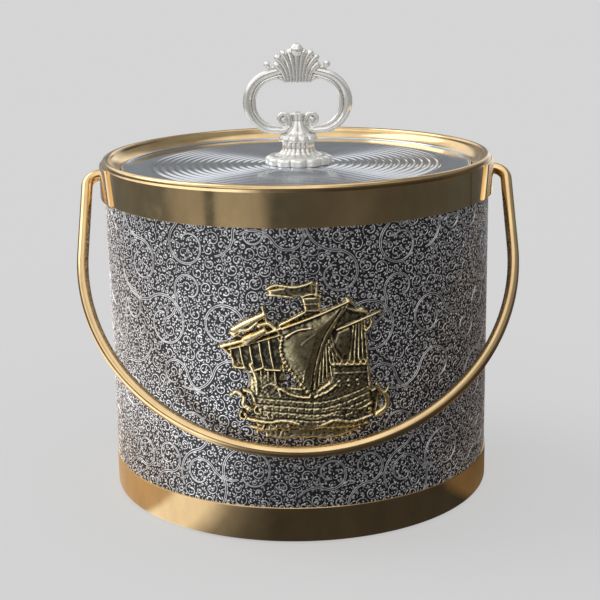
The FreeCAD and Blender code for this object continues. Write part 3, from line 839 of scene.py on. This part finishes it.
# The sea: wave bars, foam scrolls, a dolphin's tail on the right and spray on the left.
spar(bend([(-25, 64.6), (-16, 63.4), (-8, 64.4), (-1, 62.6)]), 1.0, 3.4, bed=1)
spar(bend([(8, 60.6), (16, 63.8), (25, 62.6), (34, 64.6)]), 1.0, 3.4, bed=1)
spar(bend([(-1, 66.6), (6, 65), (14, 66.4), (20, 65.8)]), 0.8, 3.1, bed=1)
spar(bend([(10, 68.4), (20, 69.6), (28, 68.6), (34, 70.8)]), 0.8, 3.1, bed=1)
spar(bend([(-24, 60.6), (-17, 58.8), (-10, 60.6), (-3, 58.6), (6, 60)]), 0.9, 2.2, bed=0.8)
spar(bend([(-16, 56.6), (-8, 55.4), (2, 56.8), (12, 55.2), (20, 57)]), 0.9, 1.6, bed=0.7)
for k in range(23):
    spray_x = -21 + 2.25 * k
    spray_z = 57.2 + 1.5 * math.sin(2.1 * k)
    spar([(spray_x, spray_z), (spray_x + 1.1 * math.sin(1.7 * k), spray_z + 3.4)], 0.72, 3.0, 0.4, bed=0.8)
spar(bend([(4, 58.8), (14, 58.6), (24, 60), (32, 60.6)]), 0.8, 2.0, bed=0.8)
foam_curls = ((-20, 69, 2.4), (-14, 66.8, 2.0), (-27.4, 66, 2.4), (26, 66.4, 1.8), (32.6, 67.4, 2.0))
for foam_x, foam_z, foam_r in foam_curls:
    curl = []
    for t in np.linspace(0, 5.4, 12):
        r = foam_r * (1 - 0.12 * t)
        curl.append((foam_x + r * math.cos(t + 2), foam_z + r * math.sin(t + 2)))
    spar(curl, 0.6, 3.0, 0.9, bed=1)
spar(bend([(-33.6, 75.8), (-30.4, 77.6), (-27.2, 75), (-27.4, 71.6), (-24.4, 69)]), 0.9, 2.4, 1.4, bed=0.8)
spar(bend([(-27, 79), (-23.4, 77.6), (-21.6, 73.6)]), 0.9, 3.0, 1.2, bed=1)
spar(bend([(-17.4, 81.2), (-14, 82.8), (-10.6, 80.6), (-9.2, 77)]), 0.9, 3.2, bed=1)
spar(bend([(36.6, 80.0), (38.2, 76.6), (41.6, 72.6), (41.4, 67.6), (37, 64.2)]), 0.8, 2.5, 1.7, bed=0.8)
spar([(42.6, 77), (40.4, 73.4)], 0.6, 2.0, bed=0.8)
plate([(33, 76), (37.4, 79), (38, 74), (36.6, 66), (33, 62.6)], 1.1, 1.0)
# The hammered texture of the casting.
texture = np.sin(grid_x * 2.3 + 1.7 * np.sin(grid_z * 1.1))
texture = texture * np.sin(grid_z * 2.7 + 1.3 * np.sin(grid_x * 0.9))
sea_and_hull = np.clip((93 - grid_z) / 8, 0, 1)
lift = np.where(lift > 0.3, lift + 0.16 * texture * (0.25 + sea_and_hull), lift)
lift = np.clip(lift, 0, 4.9)
# It is lower at the very foot, where the bail swings by.
lift = np.minimum(lift, 1.55 + np.clip(grid_z - 59, 0, 99) * 0.6)
below = np.clip(1 - (grid_z - 52.8) / 1.2, 0, 1)
lift = lift * (1 - below)


def cast_cells(heights):
    """The grid cells that hold metal, and the grid places that are corners of those cells."""
    solid = heights > 0.12
    cells = solid[:-1, :-1] | solid[1:, :-1] | solid[:-1, 1:] | solid[1:, 1:]
    used = np.zeros(heights.shape, bool)
    used[:-1, :-1] |= cells
    used[1:, :-1] |= cells
    used[:-1, 1:] |= cells
    used[1:, 1:] |= cells
    return cells, used


def relief_mesh(name, heights, material):
    """Turns heights over the wall into a closed casting whose back follows the wall."""
    cells, used = cast_cells(heights)
    number = np.full(heights.shape, -1)
    number[used] = np.arange(used.sum())
    x, z, h = grid_x[used], grid_z[used], heights[used]
    front = np.column_stack([x, -np.sqrt((WALL_R + np.maximum(h, 0.05)) ** 2 - x ** 2), z])
    back = np.column_stack([x, -np.sqrt((WALL_R - 0.1) ** 2 - x ** 2), z])
    total = int(used.sum())
    j, i = np.where(cells)
    quads = np.column_stack([number[j, i], number[j, i + 1], number[j + 1, i + 1], number[j + 1, i]])
    quads = quads.tolist()
    faces = quads + [[total + v for v in q[::-1]] for q in quads]
    rim = {}
    for q in quads:
        for a, b in zip(q, q[1:] + q[:1]):
            if (b, a) in rim:
                del rim[(b, a)]
            else:
                rim[(a, b)] = True
    faces += [(b, a, total + a, total + b) for a, b in rim]
    return mesh_piece(name, np.vstack([front, back]), faces, material, recalc=False)


def soften(heights, rounds):
    """Averages each height with its neighbours, as a sand mould rounds fine edges."""
    for _ in range(rounds):
        padded = np.pad(heights, 1, mode="edge")
        around = padded[:-2, 1:-1] + padded[2:, 1:-1] + padded[1:-1, :-2] + padded[1:-1, 2:]
        heights = np.where(heights > 0, 0.5 * heights + 0.125 * around, heights)
    return heights


softened = soften(lift, 2)
hollow = soften(lift, 14) - softened



def gilt_finish():
    """Gilding that is worn bright where the polish attribute is high, with patina elsewhere."""
    material, nodes, links, shader = new_finish("gilt_with_patina", 1)
    worn = nodes.new("ShaderNodeAttribute")
    worn.attribute_name = "polish"
    patina = nodes.new("ShaderNodeMath")
    patina.operation = "ADD"
    patina.use_clamp = True
    links.new(worn.outputs["Fac"], patina.inputs[0])
    links.new(between(nodes, links, cloud(nodes, links, 1.8, 4.0), -0.26, 0.26), patina.inputs[1])
    gilding = two_tones(nodes, links, patina.outputs[0], (0.048, 0.044, 0.038), (1.0, 0.83, 0.48))
    links.new(gilding, shader.inputs["Base Color"])
    rub = nodes.new("ShaderNodeMapRange")
    rub.inputs["To Min"].default_value = 0.5
    rub.inputs["To Max"].default_value = 0.14
    links.new(patina.outputs[0], rub.inputs["Value"])
    links.new(rub.outputs["Result"], shader.inputs["Roughness"])
    surface_grain(nodes, links, shader, cloud(nodes, links, 0.9, 3.0), 0.05)
    return material


galleon = relief_mesh("galleon", softened, gilt_finish())
touched = cast_cells(softened)[1]
# Hollows keep their patina; high places, and the sea at the foot, are rubbed bright.
shine = 0.2 - 3.6 * hollow[touched] + 0.07 * (softened[touched] - 2.0)
shine = np.clip(shine + 0.3 * np.clip((66 - grid_z[touched]) / 5, 0, 1), 0, 1)
worn_map = galleon.data.attributes.new("polish", "FLOAT", "POINT")
worn_map.data.foreach_set("value", np.concatenate([shine, np.zeros(len(shine))]))
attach(galleon, "bucket")
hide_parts("galleon_medallion")

spring_steel = worked_finish(
    "spring_steel", (0.42, 0.43, 0.45), (0.32, 0.33, 0.35), 1, (0.3, 0.45), 4, 0.3, 0.01
)
dress("medallion_push_nuts", spring_steel)

# ---- Bail handle --------------------------------------------------------------------------
# One round brass-plated rod bent to a U with a half-circle bow. Its ends turn in through the
# ears and the wall, and spring caps stop them coming out. It rests leaning forward.

ROD_R = 3.0
PIVOT_Z = 167.6
BOW_R = 110.9
ARM = 47.4
BEND_R = 6.8
LEAN = math.asin((WALL_R + ROD_R + 0.3) / (BOW_R + ARM))


def swept_rod(name, path, radii, material, sides=28):
    """A round bar along a path of places, closed with flat ends."""
    path = np.asarray(path, float)
    along = np.gradient(path, axis=0)
    along /= np.linalg.norm(along, axis=1)[:, None]
    side = np.cross(along[0], (0.31, 0.23, 0.92))
    points = []
    for place, heading, radius in zip(path, along, radii):
        side = side - heading * np.dot(side, heading)
        side /= np.linalg.norm(side)
        other = np.cross(heading, side)
        for k in range(sides):
            turn = 2 * math.pi * k / sides
            points.append(place + radius * (math.cos(turn) * side + math.sin(turn) * other))
    return mesh_piece(name, points, tube_faces(len(path), sides), material, 50)


# Half of the rod as (out, drop) places, from its end inside the wall to the foot of the bow.
bow = [(96.8, 0.0), (96.9, 0.0), (97.4, 0.0), (101.0, 0.0)]
bow += arc((BOW_R - BEND_R, BEND_R), BEND_R, -90, 0, 12)
bow += [(BOW_R, 20.0), (BOW_R, 34.0)]
bow += arc((0, ARM), BOW_R, 0, 90, 60)
bow += [(-x, drop) for x, drop in bow[-2::-1]]
bail_path = [(x, -drop * math.sin(LEAN), PIVOT_Z - drop * math.cos(LEAN)) for x, drop in bow]
bail_radii = [2.6, 2.8, ROD_R] + [ROD_R] * (len(bow) - 6) + [ROD_R, 2.8, 2.6]
bail = swept_rod("bail", bail_path, bail_radii, polished_gold)
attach(bail, "bail")
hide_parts("bail_handle")
dress("bail_push_nuts", spring_steel)

# ---- Lid ----------------------------------------------------------------------------------
# A spun chromed disc with fine round-bottomed rings from the pull out to a plain border, a
# small raised bead, and an edge turned down over the plastic pan beneath it.

LID_Z = 172.3
RINGS = 15
RING_PITCH = 4.0
RING_IN_R = 17.5
RING_DEPTH = 0.5
RING_STEPS = 12



def chrome_finish():
    """Bright chrome, a little tarnished in clouds and rubbed in finer ones."""
    material, nodes, links, shader = new_finish("spun_chrome", 1)
    tarnish = between(nodes, links, cloud(nodes, links, 22, 4.0), 0, 1)
    plating = two_tones(nodes, links, tarnish, (0.66, 0.69, 0.74), (0.54, 0.57, 0.62))
    links.new(plating, shader.inputs["Base Color"])
    rubbed = cloud(nodes, links, 5, 5.0)
    links.new(between(nodes, links, rubbed, 0.05, 0.13), shader.inputs["Roughness"])
    surface_grain(nodes, links, shader, cloud(nodes, links, 6, 2.0), 0.008)
    return material


lid_top = [(0.0, LID_Z), (8.0, LID_Z), (RING_IN_R, LID_Z)]
for k in range(1, RINGS * RING_STEPS + 1):
    dip = RING_DEPTH * 0.5 * (1 - math.cos(2 * math.pi * k / RING_STEPS))
    lid_top.append((RING_IN_R + k * RING_PITCH / RING_STEPS, LID_Z - dip))
lid_outline = (
    lid_top
    + [(84.0, LID_Z), (90.3, LID_Z)]
    + arc((91.3, LID_Z), 0.8, 178, 0, 12)
    + [(92.1, 171.0), (92.05, 170.0), (91.75, 169.9), (91.45, 170.0), (91.4, 171.3), (0.0, 171.3)]
)
lid_cover = lathe("lid_cover", lid_outline, chrome_finish(), 360, 60)
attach(lid_cover, "lid")
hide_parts("lid_disc")

# ---- Screw and washer ---------------------------------------------------------------------
# A zinc-plated screw goes up through a washer and the chromed disc into the pull's foot. It
# was tightened before the foam and the pan were fitted, so it is out of sight.

screw_steel = worked_finish(
    "zinc_plate", (0.56, 0.56, 0.57), (0.44, 0.44, 0.46), 1, (0.25, 0.4), 5, 0.3, 0.01
)
dress("pull_screw", screw_steel)
dress("pull_washer", screw_steel)

# ---- Cast pull ----------------------------------------------------------------------------
# One silver-plated casting: a scalloped foot, a fluted column under a leafy collar, an oval
# loop of double moulding whose ends curl into volutes, and a shell crest with three balls.

OFF_CENTRE = 1.3        # the screw's hole is a little large, and the pull sits off to the right
LOOP_Z = 32.2
VOLUTE_AT = (7.6, 23.0)
CREST_FOOT_Z = 42.2
CASTING_GRAIN = 0.33    # the finest detail that the mould keeps


def plate_finish():
    """Soft silver plate, its creases darkened with painted shade."""
    material, nodes, links, shader = new_finish("silver_plate", 0.5)
    # Painted shade: where the surface's pointiness marks a crease, the base colour goes near black.
    hollows = nodes.new("ShaderNodeNewGeometry")
    crease_shade = nodes.new("ShaderNodeMapRange")
    crease_shade.inputs["From Min"].default_value = 0.435
    crease_shade.inputs["From Max"].default_value = 0.5
    links.new(hollows.outputs["Pointiness"], crease_shade.inputs["Value"])
    plating = two_tones(nodes, links, crease_shade.outputs["Result"], (0.17, 0.14, 0.10), (0.97, 0.955, 0.91))
    links.new(plating, shader.inputs["Base Color"])
    links.new(between(nodes, links, cloud(nodes, links, 3, 4.0), 0.09, 0.22), shader.inputs["Roughness"])
    surface_grain(nodes, links, shader, cloud(nodes, links, 1.4, 3.0), 0.03)
    return material


silver_plate = plate_finish()


def ribbed_turning(name, profile, steps=240):
    """A turned shape whose radius swells into ribs: rows of (radius, height, ribs, swell)."""
    points = []
    for r, z, ribs, swell in profile:
        for k in range(steps):
            turn = 2 * math.pi * k / steps
            reach = r + swell * abs(math.cos(ribs * turn / 2)) ** 0.6
            points.append((reach * math.cos(turn), reach * math.sin(turn), LID_Z + z))
    return mesh_piece(name, points, tube_faces(len(profile), steps), silver_plate)


def cast_bar(name, line, radii, sides, forward=0.0):
    """A round bar of the casting along (across, height over the lid) places."""
    path = [(x, forward, LID_Z + z) for x, z in line]
    return swept_rod(name, path, radii, silver_plate, sides)


def ball(name, x, z, radius, stretch=1.0):
    """A round knob of the casting, stretched from front to back."""
    mesh = bpy.data.meshes.new(name)
    work = bmesh.new()
    at = Matrix.Translation(Vector((x, 0, LID_Z + z)) * MM) @ Matrix.Diagonal((1, stretch, 1, 1))
    bmesh.ops.create_icosphere(work, subdivisions=4, radius=radius * MM, matrix=at)
    work.to_mesh(mesh)
    work.free()
    mesh.materials.append(silver_plate)
    return placed(name, mesh)


scalloped_foot = [
    (16.0, 0.0, 12, 1.7), (16.2, 0.5, 12, 1.7), (16.2, 2.6, 12, 1.7), (15.6, 3.7, 12, 1.6),
    (14.2, 4.4, 12, 1.3),
]
fluted_column = [
    (12.0, 4.5, 20, 0.9), (9.6, 5.3, 20, 1.0), (8.2, 6.6, 20, 1.0), (7.5, 8.4, 20, 1.0),
    (7.4, 10.4, 20, 1.0), (7.8, 11.6, 20, 0.9),
]
leafy_collar = [
    (8.8, 11.8, 10, 1.4), (8.4, 13.2, 10, 1.9), (7.6, 14.8, 10, 1.9), (5.8, 15.8, 10, 1.0),
]
neck = [
    (4.4, 17.2, 6, 1.0), (3.0, 19.4, 6, 0.8), (2.0, 22.4, 6, 0.6), (2.2, 24.6, 6, 0.7),
    (2.8, 26.0, 6, 0.8), (1.6, 26.8, 6, 0.3),
]
cast_parts = [ribbed_turning("pull_stem", scalloped_foot + fluted_column + leafy_collar + neck)]

# Each half of the loop comes down from the crest and curls into a volute beside the neck.
for side in (-1, 1):
    loop = [(8.0, 47.9), (10.6, 47.4), (13.0, 46.6)]
    for turn in np.linspace(76, -90, 30):
        t = math.radians(turn)
        loop.append((11.4 + 13.9 * math.cos(t), LOOP_Z + 14.4 * math.sin(t) - 0.2))
    loop += [(8.6, 17.3), (5.9, 17.9), (4.2, 19.4)]
    for turn in np.linspace(200, -250, 46):
        t = math.radians(turn)
        wind = 3.5 - 2.2 * (200 - turn) / 450
        loop.append((VOLUTE_AT[0] + wind * math.cos(t), VOLUTE_AT[1] + wind * math.sin(t)))
    loop = np.asarray(loop)
    count = len(loop)
    spots = [0, 3, 16, 31, 37, count - 1]
    swell = np.interp(np.arange(count), spots, [1.7, 2.0, 2.35, 1.6, 1.2, 0.75])
    inner_swell = np.interp(np.arange(count), spots, [0.8, 1.0, 1.25, 0.85, 0.5, 0.3])
    shift = np.interp(np.arange(count), spots, [0.6, 1.0, 1.25, 0.5, 0.1, 0.0])
    drop = np.interp(np.arange(count), spots, [2.8, 3.0, 3.5, 2.4, 0.6, 0.2])
    flip = np.array([side, 1])
    outer_line = beside(loop, shift[:, None]) * flip
    inner_line = beside(loop, (shift - drop)[:, None]) * flip
    brow = np.array(bend([(19.0, 41.6), (16.0, 43.6), (12.0, 44.6), (8.4, 44.0), (6.4, 42.6)])) * flip
    arm = np.array(bend([(9.0, 48.6), (12.4, 49.6), (15.2, 50.8)])) * flip
    cast_parts.append(cast_bar("pull_loop_outer", outer_line, swell, 20))
    cast_parts.append(cast_bar("pull_loop_inner", inner_line, inner_swell, 20))
    cast_parts.append(cast_bar("pull_brow", brow, np.linspace(0.6, 0.9, len(brow)), 16))
    cast_parts.append(ball("pull_volute_eye", side * VOLUTE_AT[0], VOLUTE_AT[1], 1.3, 1.5))
    cast_parts.append(ball("pull_side_ball", side * 15.5, 51.6, 1.9))
    cast_parts.append(cast_bar("pull_arm", arm, np.linspace(1.6, 1.1, len(arm)), 16))

# The shell crest: ribs that rise together from a narrow foot and spread to rounded tips.
crest_tips = [(0.0, 57.2), (3.7, 58.0), (7.2, 57.4), (10.2, 55.2), (10.6, 51.4)]
for k in range(-4, 5):
    side = -1 if k < 0 else 1
    tip_x, tip_z = crest_tips[abs(k)]
    tip_x *= side
    foot_x = 1.5 * k
    lean_x = foot_x * 1.05
    lean_z = CREST_FOOT_Z + 0.62 * (tip_z - CREST_FOOT_Z)
    rib = []
    for t in np.linspace(0, 1, 18):
        x = (1 - t) ** 2 * foot_x + 2 * t * (1 - t) * lean_x + t * t * tip_x
        z = (1 - t) ** 2 * CREST_FOOT_Z + 2 * t * (1 - t) * lean_z + t * t * tip_z
        rib.append((x, z))
    radii = np.interp(np.linspace(0, 1, len(rib)), [0, 0.5, 1], [0.72, 1.05, 1.5])
    for face in (-1, 1):
        cast_parts.append(cast_bar("pull_rib", rib, radii, 14, face * 1.1))
    cast_parts.append(ball("pull_rib_tip", tip_x, tip_z, 1.75, 1.35))
core = [(0.0, z) for z in (42.4, 45, 48, 51, 54, 57)]
cast_parts.append(cast_bar("pull_crest_core", core, [0.5, 0.6, 0.7, 0.8, 0.9, 1.0], 12))
cast_parts.append(ball("pull_top_ball", 0, 58.9, 3.6))

# The parts are fused into one casting, as they leave the mould.
joined = bmesh.new()
for part in cast_parts:
    joined.from_mesh(part.data)
    bpy.data.objects.remove(part)
cast_mesh = bpy.data.meshes.new("cast_pull")
joined.to_mesh(cast_mesh)
joined.free()
cast_mesh.materials.append(silver_plate)
pull = placed("cast_pull", cast_mesh)
fuse = pull.modifiers.new("fuse", "REMESH")
fuse.mode = "VOXEL"
fuse.voxel_size = CASTING_GRAIN * MM
fuse.use_smooth_shade = True
round_off = pull.modifiers.new("round_off", "SMOOTH")
round_off.factor = 0.5
round_off.iterations = 1
fused = bpy.data.meshes.new_from_object(pull.evaluated_get(bpy.context.evaluated_depsgraph_get()))
fused.transform(Matrix.Translation((OFF_CENTRE * MM, 0, 0)))
pull.modifiers.clear()
pull.data = fused
pull.data.shade_smooth()
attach(pull, "lid")
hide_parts("lid_pull")

# ---- Floor, light and camera --------------------------------------------------------------
# A pale seamless floor, a broad soft key light from the left and an even fill. Polished metal
# sees painted reflections instead of that studio: glossy rays see a world painted with a white
# ceiling, a pale left side and darkness behind the camera, which no other ray sees.

FLOOR_HALF = 30
TABLE_R = 0.58          # radius of the glowing disc that stands for a table top in painted reflections
TABLE_NEAR = (0.17, 0.21)

floor_corners = [(-FLOOR_HALF, -FLOOR_HALF, 0), (FLOOR_HALF, -FLOOR_HALF, 0)]
floor_corners += [(FLOOR_HALF, FLOOR_HALF, 0), (-FLOOR_HALF, FLOOR_HALF, 0)]
floor_mesh = bpy.data.meshes.new("floor")
floor_mesh.from_pydata(floor_corners, [], [(0, 1, 2, 3)])
floor = placed("floor", floor_mesh)
paper, paper_nodes, paper_links, paper_shader = new_finish("pale_paper")
mottle = between(paper_nodes, paper_links, cloud(paper_nodes, paper_links, 700), 0, 1)
paper_links.new(
    two_tones(paper_nodes, paper_links, mottle, (0.25, 0.25, 0.25), (0.248, 0.248, 0.248)),
    paper_shader.inputs["Base Color"],
)
paper_shader.inputs["Roughness"].default_value = 1.0
paper_shader.inputs["Specular IOR Level"].default_value = 0.0
paper_shader.inputs["Emission Color"].default_value = (0.458, 0.458, 0.458, 1)
paper_shader.inputs["Emission Strength"].default_value = 1.0
floor_mesh.materials.append(paper)
# The floor is left out of reflections; the painted glowing disc below takes its place there.
floor.visible_glossy = False


def share_round(nodes, links, place):
    """Height of a place, and where it lies round the drum: 0 behind, 0.5 in front, 0.75 right."""
    parts = nodes.new("ShaderNodeSeparateXYZ")
    links.new(place, parts.inputs["Vector"])
    towards = nodes.new("ShaderNodeMath")
    towards.operation = "MULTIPLY"
    towards.inputs[1].default_value = -1
    links.new(parts.outputs["Y"], towards.inputs[0])
    bearing = nodes.new("ShaderNodeMath")
    bearing.operation = "ARCTAN2"
    links.new(parts.outputs["X"], bearing.inputs[0])
    links.new(towards.outputs[0], bearing.inputs[1])
    share = nodes.new("ShaderNodeMapRange")
    share.inputs["From Min"].default_value = -math.pi
    share.inputs["From Max"].default_value = math.pi
    links.new(bearing.outputs[0], share.inputs["Value"])
    return parts.outputs["Z"], share.outputs["Result"]


def tone_ramp(nodes, links, factor, tones):
    """A strip of grey tones, given as (place, tone, warmth)."""
    strip = nodes.new("ShaderNodeValToRGB")
    links.new(factor, strip.inputs["Fac"])
    elements = strip.color_ramp.elements
    while len(elements) < len(tones):
        elements.new(0.5)
    for element, (place, tone, warmth) in zip(elements, tones):
        element.position = place
    for element, (place, tone, warmth) in zip(elements, tones):
        element.color = (tone * (1 + warmth), tone, tone * (1 - warmth), 1)
    return strip.outputs["Color"]


def fade_over(nodes, links, factor, low, high, under, over=None):
    """Goes smoothly from one colour to another, white if not given, as a factor rises."""
    step = nodes.new("ShaderNodeMapRange")
    step.interpolation_type = "SMOOTHSTEP"
    step.inputs["From Min"].default_value = low
    step.inputs["From Max"].default_value = high
    links.new(factor, step.inputs["Value"])
    mix = nodes.new("ShaderNodeMix")
    mix.data_type = "RGBA"
    mix.inputs["B"].default_value = (1.1, 1.1, 1.1, 1)
    links.new(step.outputs["Result"], mix.inputs["Factor"])
    links.new(under, mix.inputs["A"])
    if over:
        links.new(over, mix.inputs["B"])
    return mix.outputs["Result"]


# Painted reflections: the tones of walls, ceiling and dark places that only glossy rays see in the world.
low_tones = (
    (0.000, 0.24, -0.04), (0.020, 0.28, -0.04), (0.038, 0.34, 0), (0.095, 0.34, 0),
    (0.130, 0.18, -0.1), (0.235, 0.16, -0.1), (0.270, 0.16, -0.1), (0.300, 0.34, 0),
    (0.346, 0.38, 0), (0.352, 0.13, -0.1), (0.366, 0.13, -0.1), (0.372, 0.42, 0),
    (0.440, 0.38, 0), (0.462, 0.10, -0.1), (0.530, 0.10, 0), (0.590, 0.12, 0),
    (0.640, 0.08, 0), (0.800, 0.10, -0.1), (0.868, 0.10, -0.1), (0.884, 0.11, -0.1),
    (0.915, 0.62, -0.1), (0.955, 1.1, 0), (0.977, 0.26, -0.04), (1.000, 0.24, -0.04),
)
high_tones = (
    (0.000, 0.30, 0), (0.009, 0.32, 0), (0.018, 1.1, 0), (0.100, 1.2, 0), (0.450, 1.4, 0),
    (0.540, 1.2, 0), (0.600, 0.42, 0), (0.800, 0.23, 0), (0.900, 0.35, 0), (0.960, 1.0, 0),
    (0.982, 1.1, 0), (0.991, 0.32, 0), (1.000, 0.30, 0),
)
upper_tones = (
    (0.000, 0.30, 0), (0.055, 0.32, 0), (0.085, 1.2, 0), (0.110, 0.85, 0), (0.400, 0.85, 0),
    (0.450, 1.3, 0), (0.540, 1.2, 0), (0.600, 0.42, 0), (0.800, 0.23, 0), (0.900, 0.32, 0),
    (1.000, 0.30, 0),
)
world = bpy.data.worlds.new("studio")
bpy.context.scene.world = world
world.use_nodes = True
air = world.node_tree.nodes
wires = world.node_tree.links
direction = air.new("ShaderNodeTexCoord")
upward, bearing_share = share_round(air, wires, direction.outputs["Generated"])
low_wall = tone_ramp(air, wires, bearing_share, low_tones)
high_wall = tone_ramp(air, wires, bearing_share, high_tones)
upper_wall = tone_ramp(air, wires, bearing_share, upper_tones)
painted_walls = fade_over(air, wires, upward, 0.20, 0.34, low_wall, high_wall)
painted_walls = fade_over(air, wires, upward, 0.50, 0.60, painted_walls, upper_wall)
studio = fade_over(air, wires, upward, 0.82, 0.94, painted_walls)
painted_reflection = air.new("ShaderNodeBackground")
wires.new(studio, painted_reflection.inputs["Color"])
backdrop = air["Background"]
backdrop.inputs["Color"].default_value = (0.66, 0.66, 0.66, 1)
backdrop.inputs["Strength"].default_value = 1.0
# Glossy rays see the painted reflection; camera and diffuse rays see the even grey backdrop.
ray = air.new("ShaderNodeLightPath")
choose = air.new("ShaderNodeMixShader")
wires.new(ray.outputs["Is Glossy Ray"], choose.inputs["Fac"])
wires.new(backdrop.outputs["Background"], choose.inputs[1])
wires.new(painted_reflection.outputs["Background"], choose.inputs[2])
wires.new(choose.outputs["Shader"], air["World Output"].inputs["Surface"])

# Painted reflection: a glowing disc just above the floor, standing for the table top near the drum, which
# only polished surfaces see: pale left, dark elsewhere.
far_tones = (
    (0.000, 0.30, 0.2), (0.030, 0.42, 0.2), (0.100, 0.75, 0.15), (0.230, 1.4, 0.06),
    (0.330, 1.8, 0), (0.410, 1.75, -0.05), (0.450, 0.26, 0), (0.500, 0.12, 0),
    (0.560, 0.05, 0.2), (0.740, 0.04, 0.45), (0.800, 0.07, 0.5), (0.920, 0.10, 0.45),
    (0.965, 0.14, 0.3), (1.000, 0.30, 0.2),
)
near_tones = (
    (0.000, 0.24, 0.3), (0.100, 0.32, 0.3), (0.205, 0.46, 0.38), (0.320, 0.50, 0.32),
    (0.347, 0.50, 0.25), (0.358, 1.15, 0), (0.398, 1.1, 0), (0.425, 0.26, 0),
    (0.452, 0.10, 0), (0.475, 0.05, 0), (0.660, 0.045, 0), (0.680, 0.14, 0.4),
    (0.740, 0.11, 0.45), (0.800, 0.08, 0.45), (0.900, 0.14, 0.3), (1.000, 0.24, 0.3),
)
painted_table_top, top_nodes, top_links, top_shader = new_finish("painted_table_top")
top_nodes.remove(top_shader)
spot = top_nodes.new("ShaderNodeTexCoord").outputs["Object"]
_, table_share = share_round(top_nodes, top_links, spot)
reach = top_nodes.new("ShaderNodeVectorMath")
reach.operation = "LENGTH"
top_links.new(spot, reach.inputs[0])
near_table = tone_ramp(top_nodes, top_links, table_share, near_tones)
far_table = tone_ramp(top_nodes, top_links, table_share, far_tones)
glow = top_nodes.new("ShaderNodeEmission")
top_links.new(
    fade_over(top_nodes, top_links, reach.outputs["Value"], *TABLE_NEAR, near_table, far_table),
    glow.inputs["Color"],
)
top_links.new(glow.outputs["Emission"], top_nodes["Material Output"].inputs["Surface"])
turns = [2 * math.pi * k / 64 for k in range(64)]
mat_points = [(TABLE_R * math.cos(t), TABLE_R * math.sin(t), 0.0004) for t in turns]
mat_mesh = bpy.data.meshes.new("table_reflection")
mat_mesh.from_pydata(mat_points, [], [list(range(64))])
mat_mesh.materials.append(painted_table_top)
table_reflection = placed("table_reflection", mat_mesh)
table_reflection.visible_camera = False
table_reflection.visible_diffuse = False
table_reflection.visible_shadow = False

key_data = bpy.data.lights.new("key", "SUN")
key_data.energy = 0.75
key_data.angle = math.radians(40)
key = placed("key", key_data)
key.rotation_euler = Vector((0.75, -0.25, -0.85)).to_track_quat("-Z", "Y").to_euler()

bpy.context.scene.view_settings.view_transform = "Standard"

CAMERA_RISE = math.radians(15.28)
CAMERA_AWAY = 0.757
CAMERA_ROLL = math.radians(-1.04)
LOOK_AT = Vector((0, 0, 0.089))
camera_data = bpy.data.cameras.new("camera")
camera_data.lens = 83.15
camera_data.sensor_width = 36
camera_data.shift_x = 0.0017
camera_data.shift_y = 0.0236
camera_data.clip_start = 0.05
camera = placed("camera", camera_data)
sight = Vector((0, -math.cos(CAMERA_RISE), math.sin(CAMERA_RISE)))
look = (-sight).to_track_quat("-Z", "Y").to_matrix().to_4x4()
roll = Matrix.Rotation(CAMERA_ROLL, 4, "Z")
camera.matrix_world = Matrix.Translation(LOOK_AT + CAMERA_AWAY * sight) @ look @ roll
bpy.context.scene.camera = camera
